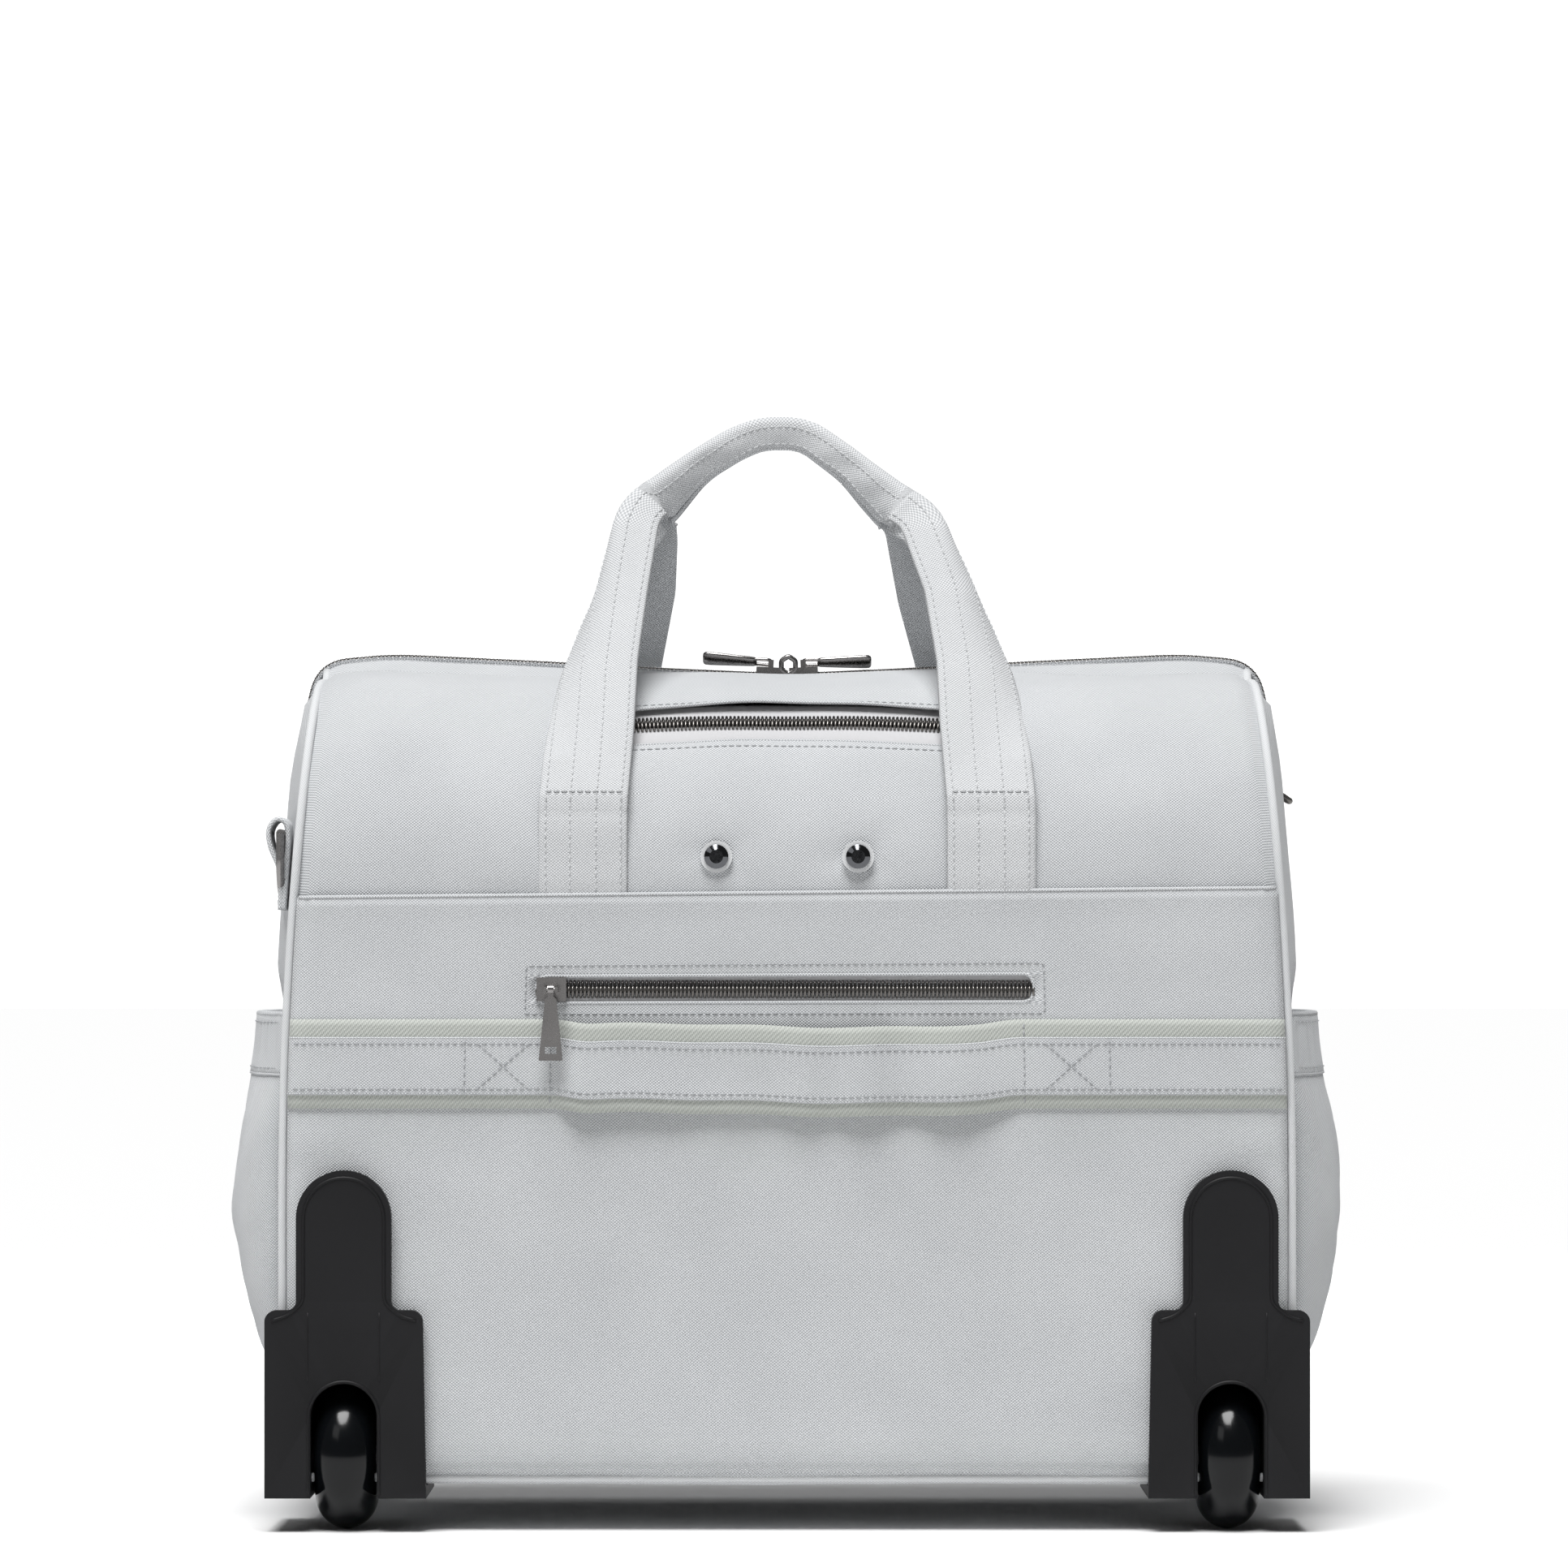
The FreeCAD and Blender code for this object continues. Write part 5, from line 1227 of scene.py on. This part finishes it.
# ---------------------------------------------------------------- main zip pulls
PULL_HINGE_X, PULL_HINGE_Z = 7.29, 384.95
PLATE_START = 6.5  # from the hinge
PLATE_STATIONS = (  # distance along a plate 25.2 long, which is stretched to the pull, width, thickness
    (0, 4.0, 1.2), (0.5, 5.4, 1.8), (1.5, 6.2, 2.0), (8, 7.4, 2.0), (16, 8.8, 2.0),
    (22, 9.6, 2.0), (24, 9.4, 2.0), (24.8, 8.2, 1.7), (25.2, 6.0, 1.1),
)


def plate_section(width, thickness, chamfer=0.45):
    w, t = width / 2, thickness / 2
    return [(-w, -t + chamfer), (-w + chamfer, -t), (w - chamfer, -t), (w, -t + chamfer),
            (w, t - chamfer), (w - chamfer, t), (-w + chamfer, t), (-w, t - chamfer)]


def zip_pull(side, word, climb):
    """A tapered pull plate on a wire link, turned a little so that its face shows."""
    body = f"main_pull_{word}"
    low, high = (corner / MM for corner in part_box(body))
    hinge = np.array([side * PULL_HINGE_X, 0, PULL_HINGE_Z])
    length = max(abs(low[0]), abs(high[0])) - PULL_HINGE_X - PLATE_START
    roll = math.radians(27)
    along = np.array([side * math.cos(climb), 0, math.sin(climb)])
    across = np.array([0, math.cos(roll), -math.sin(roll)])
    up = np.cross(along, across) * side
    shares = np.array([station[0] for station in PLATE_STATIONS]) / PLATE_STATIONS[-1][0]
    origins = hinge + along * (PLATE_START + shares * length)[:, None]
    sections = [plate_section(w, t) for _, w, t in PLATE_STATIONS]
    ways = (np.broadcast_to(way, origins.shape) for way in (across, up))
    plate = sweep(f"{body}_plate", origins, *ways, sections, "gunmetal", body=body)

    def wire(part, corners, radius, turn, steps, step, lift, sides):
        ring = rounded([(*corner, 0) for corner in corners], turn, steps, True)[:-1]
        points = hinge + ring[:, :1] * along + ring[:, 1:2] * across + up * lift
        name = f"{body}_{part}"
        tube(name, even(points, step), radius, "gunmetal", up=tuple(up), body=body, closed=True, sides=sides)

    wire("link", [(0, -2.6), (8.6, -2.2), (8.6, 2.2), (0, 2.6)], 0.8, 2.0, 6, 0.6, 0, 8)
    near, end = PLATE_START + 3, PLATE_START + length - 3
    wire("rim", [(near, 2.2), (end, 3.4), (end, -3.4), (near, -2.2)], 0.3, 1.2, 4, 0.8, 1.0, 6)
    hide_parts(body)


zip_pull(-1, "left", math.radians(4))
zip_pull(1, "right", math.radians(1))
turns = np.radians(np.arange(30, 390, 60))
corners = [(0.6 + 3.7 * math.cos(a), -4.6, 383.6 + 4.1 * math.sin(a)) for a in turns]
ring = even(rounded(corners, 0.9, 4, True)[:-1], 0.7)
tube("main_slider_lug", ring, 1.15, "gunmetal", up=TO_FRONT, body="main_slider_right", closed=True)


# ---------------------------------------------------------------- raised rims moulded on the wheel housings
def arch(radius, height):
    """A half circle, from its right end over the top to its left end."""
    return [(radius * math.cos(a), height + radius * math.sin(a)) for a in np.linspace(0, math.pi, 26)]


for side, word in ENDS:
    face_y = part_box(f"wheel_housing_{word}")[0][1] / MM
    middle = side * 193.5

    def on_face(outline, lift):
        return [(middle + x, face_y + lift, z) for x, z in outline]

    shoulder_line = [(31.5, 92.5), (24.5, 94.5), (17.6, 100.5)]
    outline = shoulder_line + arch(17.6, 137.2) + [(-x, z) for x, z in shoulder_line[::-1]]
    moulded = [
        ("rim", rounded(on_face(outline, 0.12), 3, 4), 2, 0.8, 8),
        ("bead", on_face([(15.4, 16.5)] + arch(15.4, 50.5) + [(-15.4, 16.5)], 0.1), 2, 0.7, 8),
        ("rib", on_face([(-15.6, 66), (-15.6, 96)], 0.1), 3, 0.4, 6),
        ("rib", on_face([(15.6, 66), (15.6, 96)], 0.1), 3, 0.4, 6),
    ]
    for (part, line, step, radius, sides), mark in zip(moulded, ("", "", "_a", "_b")):
        tube(f"housing_{part}_{word}{mark}", even(line, step), radius, "housing", up=TO_FRONT, sides=sides)


# ---------------------------------------------------------------- looks of the CAD nodes that show
for look, names in NODE_LOOKS.items():
    for name in names:
        materials = NODES[name].data.materials
        materials.clear()
        materials.append(LOOKS[look])

BEVELS = {"wheel_housing_left": 0.8, "wheel_housing_right": 0.8, "trolley_bezel": 0.6, "trolley_base": 0.5}
for name, width in BEVELS.items():
    bevel = NODES[name].modifiers.new("edges", "BEVEL")
    bevel.width = width * MM
    bevel.segments = 3
    bevel.limit_method = "ANGLE"
    bevel.angle_limit = math.radians(35)
    bevel.harden_normals = True


# ---------------------------------------------------------------- floor, light and camera
scene = bpy.context.scene
scene.view_settings.view_transform = "Standard"

floor_mesh = bpy.data.meshes.new("studio_floor")
FLOOR_REACH = 30.0
corners = box_corners(-FLOOR_REACH, FLOOR_REACH, -FLOOR_REACH, FLOOR_REACH)
floor_mesh.from_pydata([(x, y, 0) for x, y in corners], [], [(0, 1, 2, 3)])
floor = bpy.data.objects.new("studio_floor", floor_mesh)
scene.collection.objects.link(floor)
paper = Look("floor_paper", (0.79, 0.79, 0.79), 0.9)
paper.bump((paper.noise(3, 2), 0.0002, 0.1))
floor_mesh.materials.append(paper.material)

# white where the camera sees it, with little light of its own
SKY_SEEN, SKY_LIGHT = 1.1, 0.07
world = bpy.data.worlds.new("studio")
world.use_nodes = True
sky = world.node_tree
seen = sky.nodes.new("ShaderNodeLightPath")
glow = sky.nodes.new("ShaderNodeMath")
glow.operation = "MULTIPLY_ADD"
glow.inputs[1].default_value = SKY_SEEN
glow.inputs[2].default_value = SKY_LIGHT
sky.links.new(seen.outputs["Is Camera Ray"], glow.inputs[0])
sky.links.new(glow.outputs[0], sky.nodes["Background"].inputs["Strength"])
sky.nodes["Background"].inputs["Color"].default_value = (1, 1, 1, 1)
scene.world = world


def lamp_at(name, kind, place, target, power, **settings):
    """A lamp aimed at a point, in metres and watts."""
    data = bpy.data.lights.new(name, kind)
    data.energy = power
    for key, value in settings.items():
        setattr(data, key, value)
    lamp = bpy.data.objects.new(name, data)
    lamp.location = place
    lamp.rotation_euler = (Vector(target) - Vector(place)).to_track_quat("-Z", "Y").to_euler()
    scene.collection.objects.link(lamp)


lamp_at("overhead", "SUN", (-0.3, -1.02, 3.2), (0, 0, 0.2), 4.2, angle=math.radians(34))
lamp_at("back_light", "AREA", (0, 2.2, 0.9), (0, 0.2, 0), 16, shape="RECTANGLE", size=1.2, size_y=0.6)
lamp_at("key_left", "AREA", (-1.6, -2.0, 1.9), (0, 0, 0.25), 4, shape="RECTANGLE", size=1.2, size_y=1.0)

camera_data = bpy.data.cameras.new("camera")
camera = bpy.data.objects.new("camera", camera_data)
camera.location = (-0.0014, -2.91, 0.25)
camera.rotation_euler = (math.radians(90), 0, 0)
camera_data.lens = 147
camera_data.sensor_width = 36
camera_data.shift_y = 0.112
camera_data.clip_end = 200
scene.collection.objects.link(camera)
scene.camera = camera
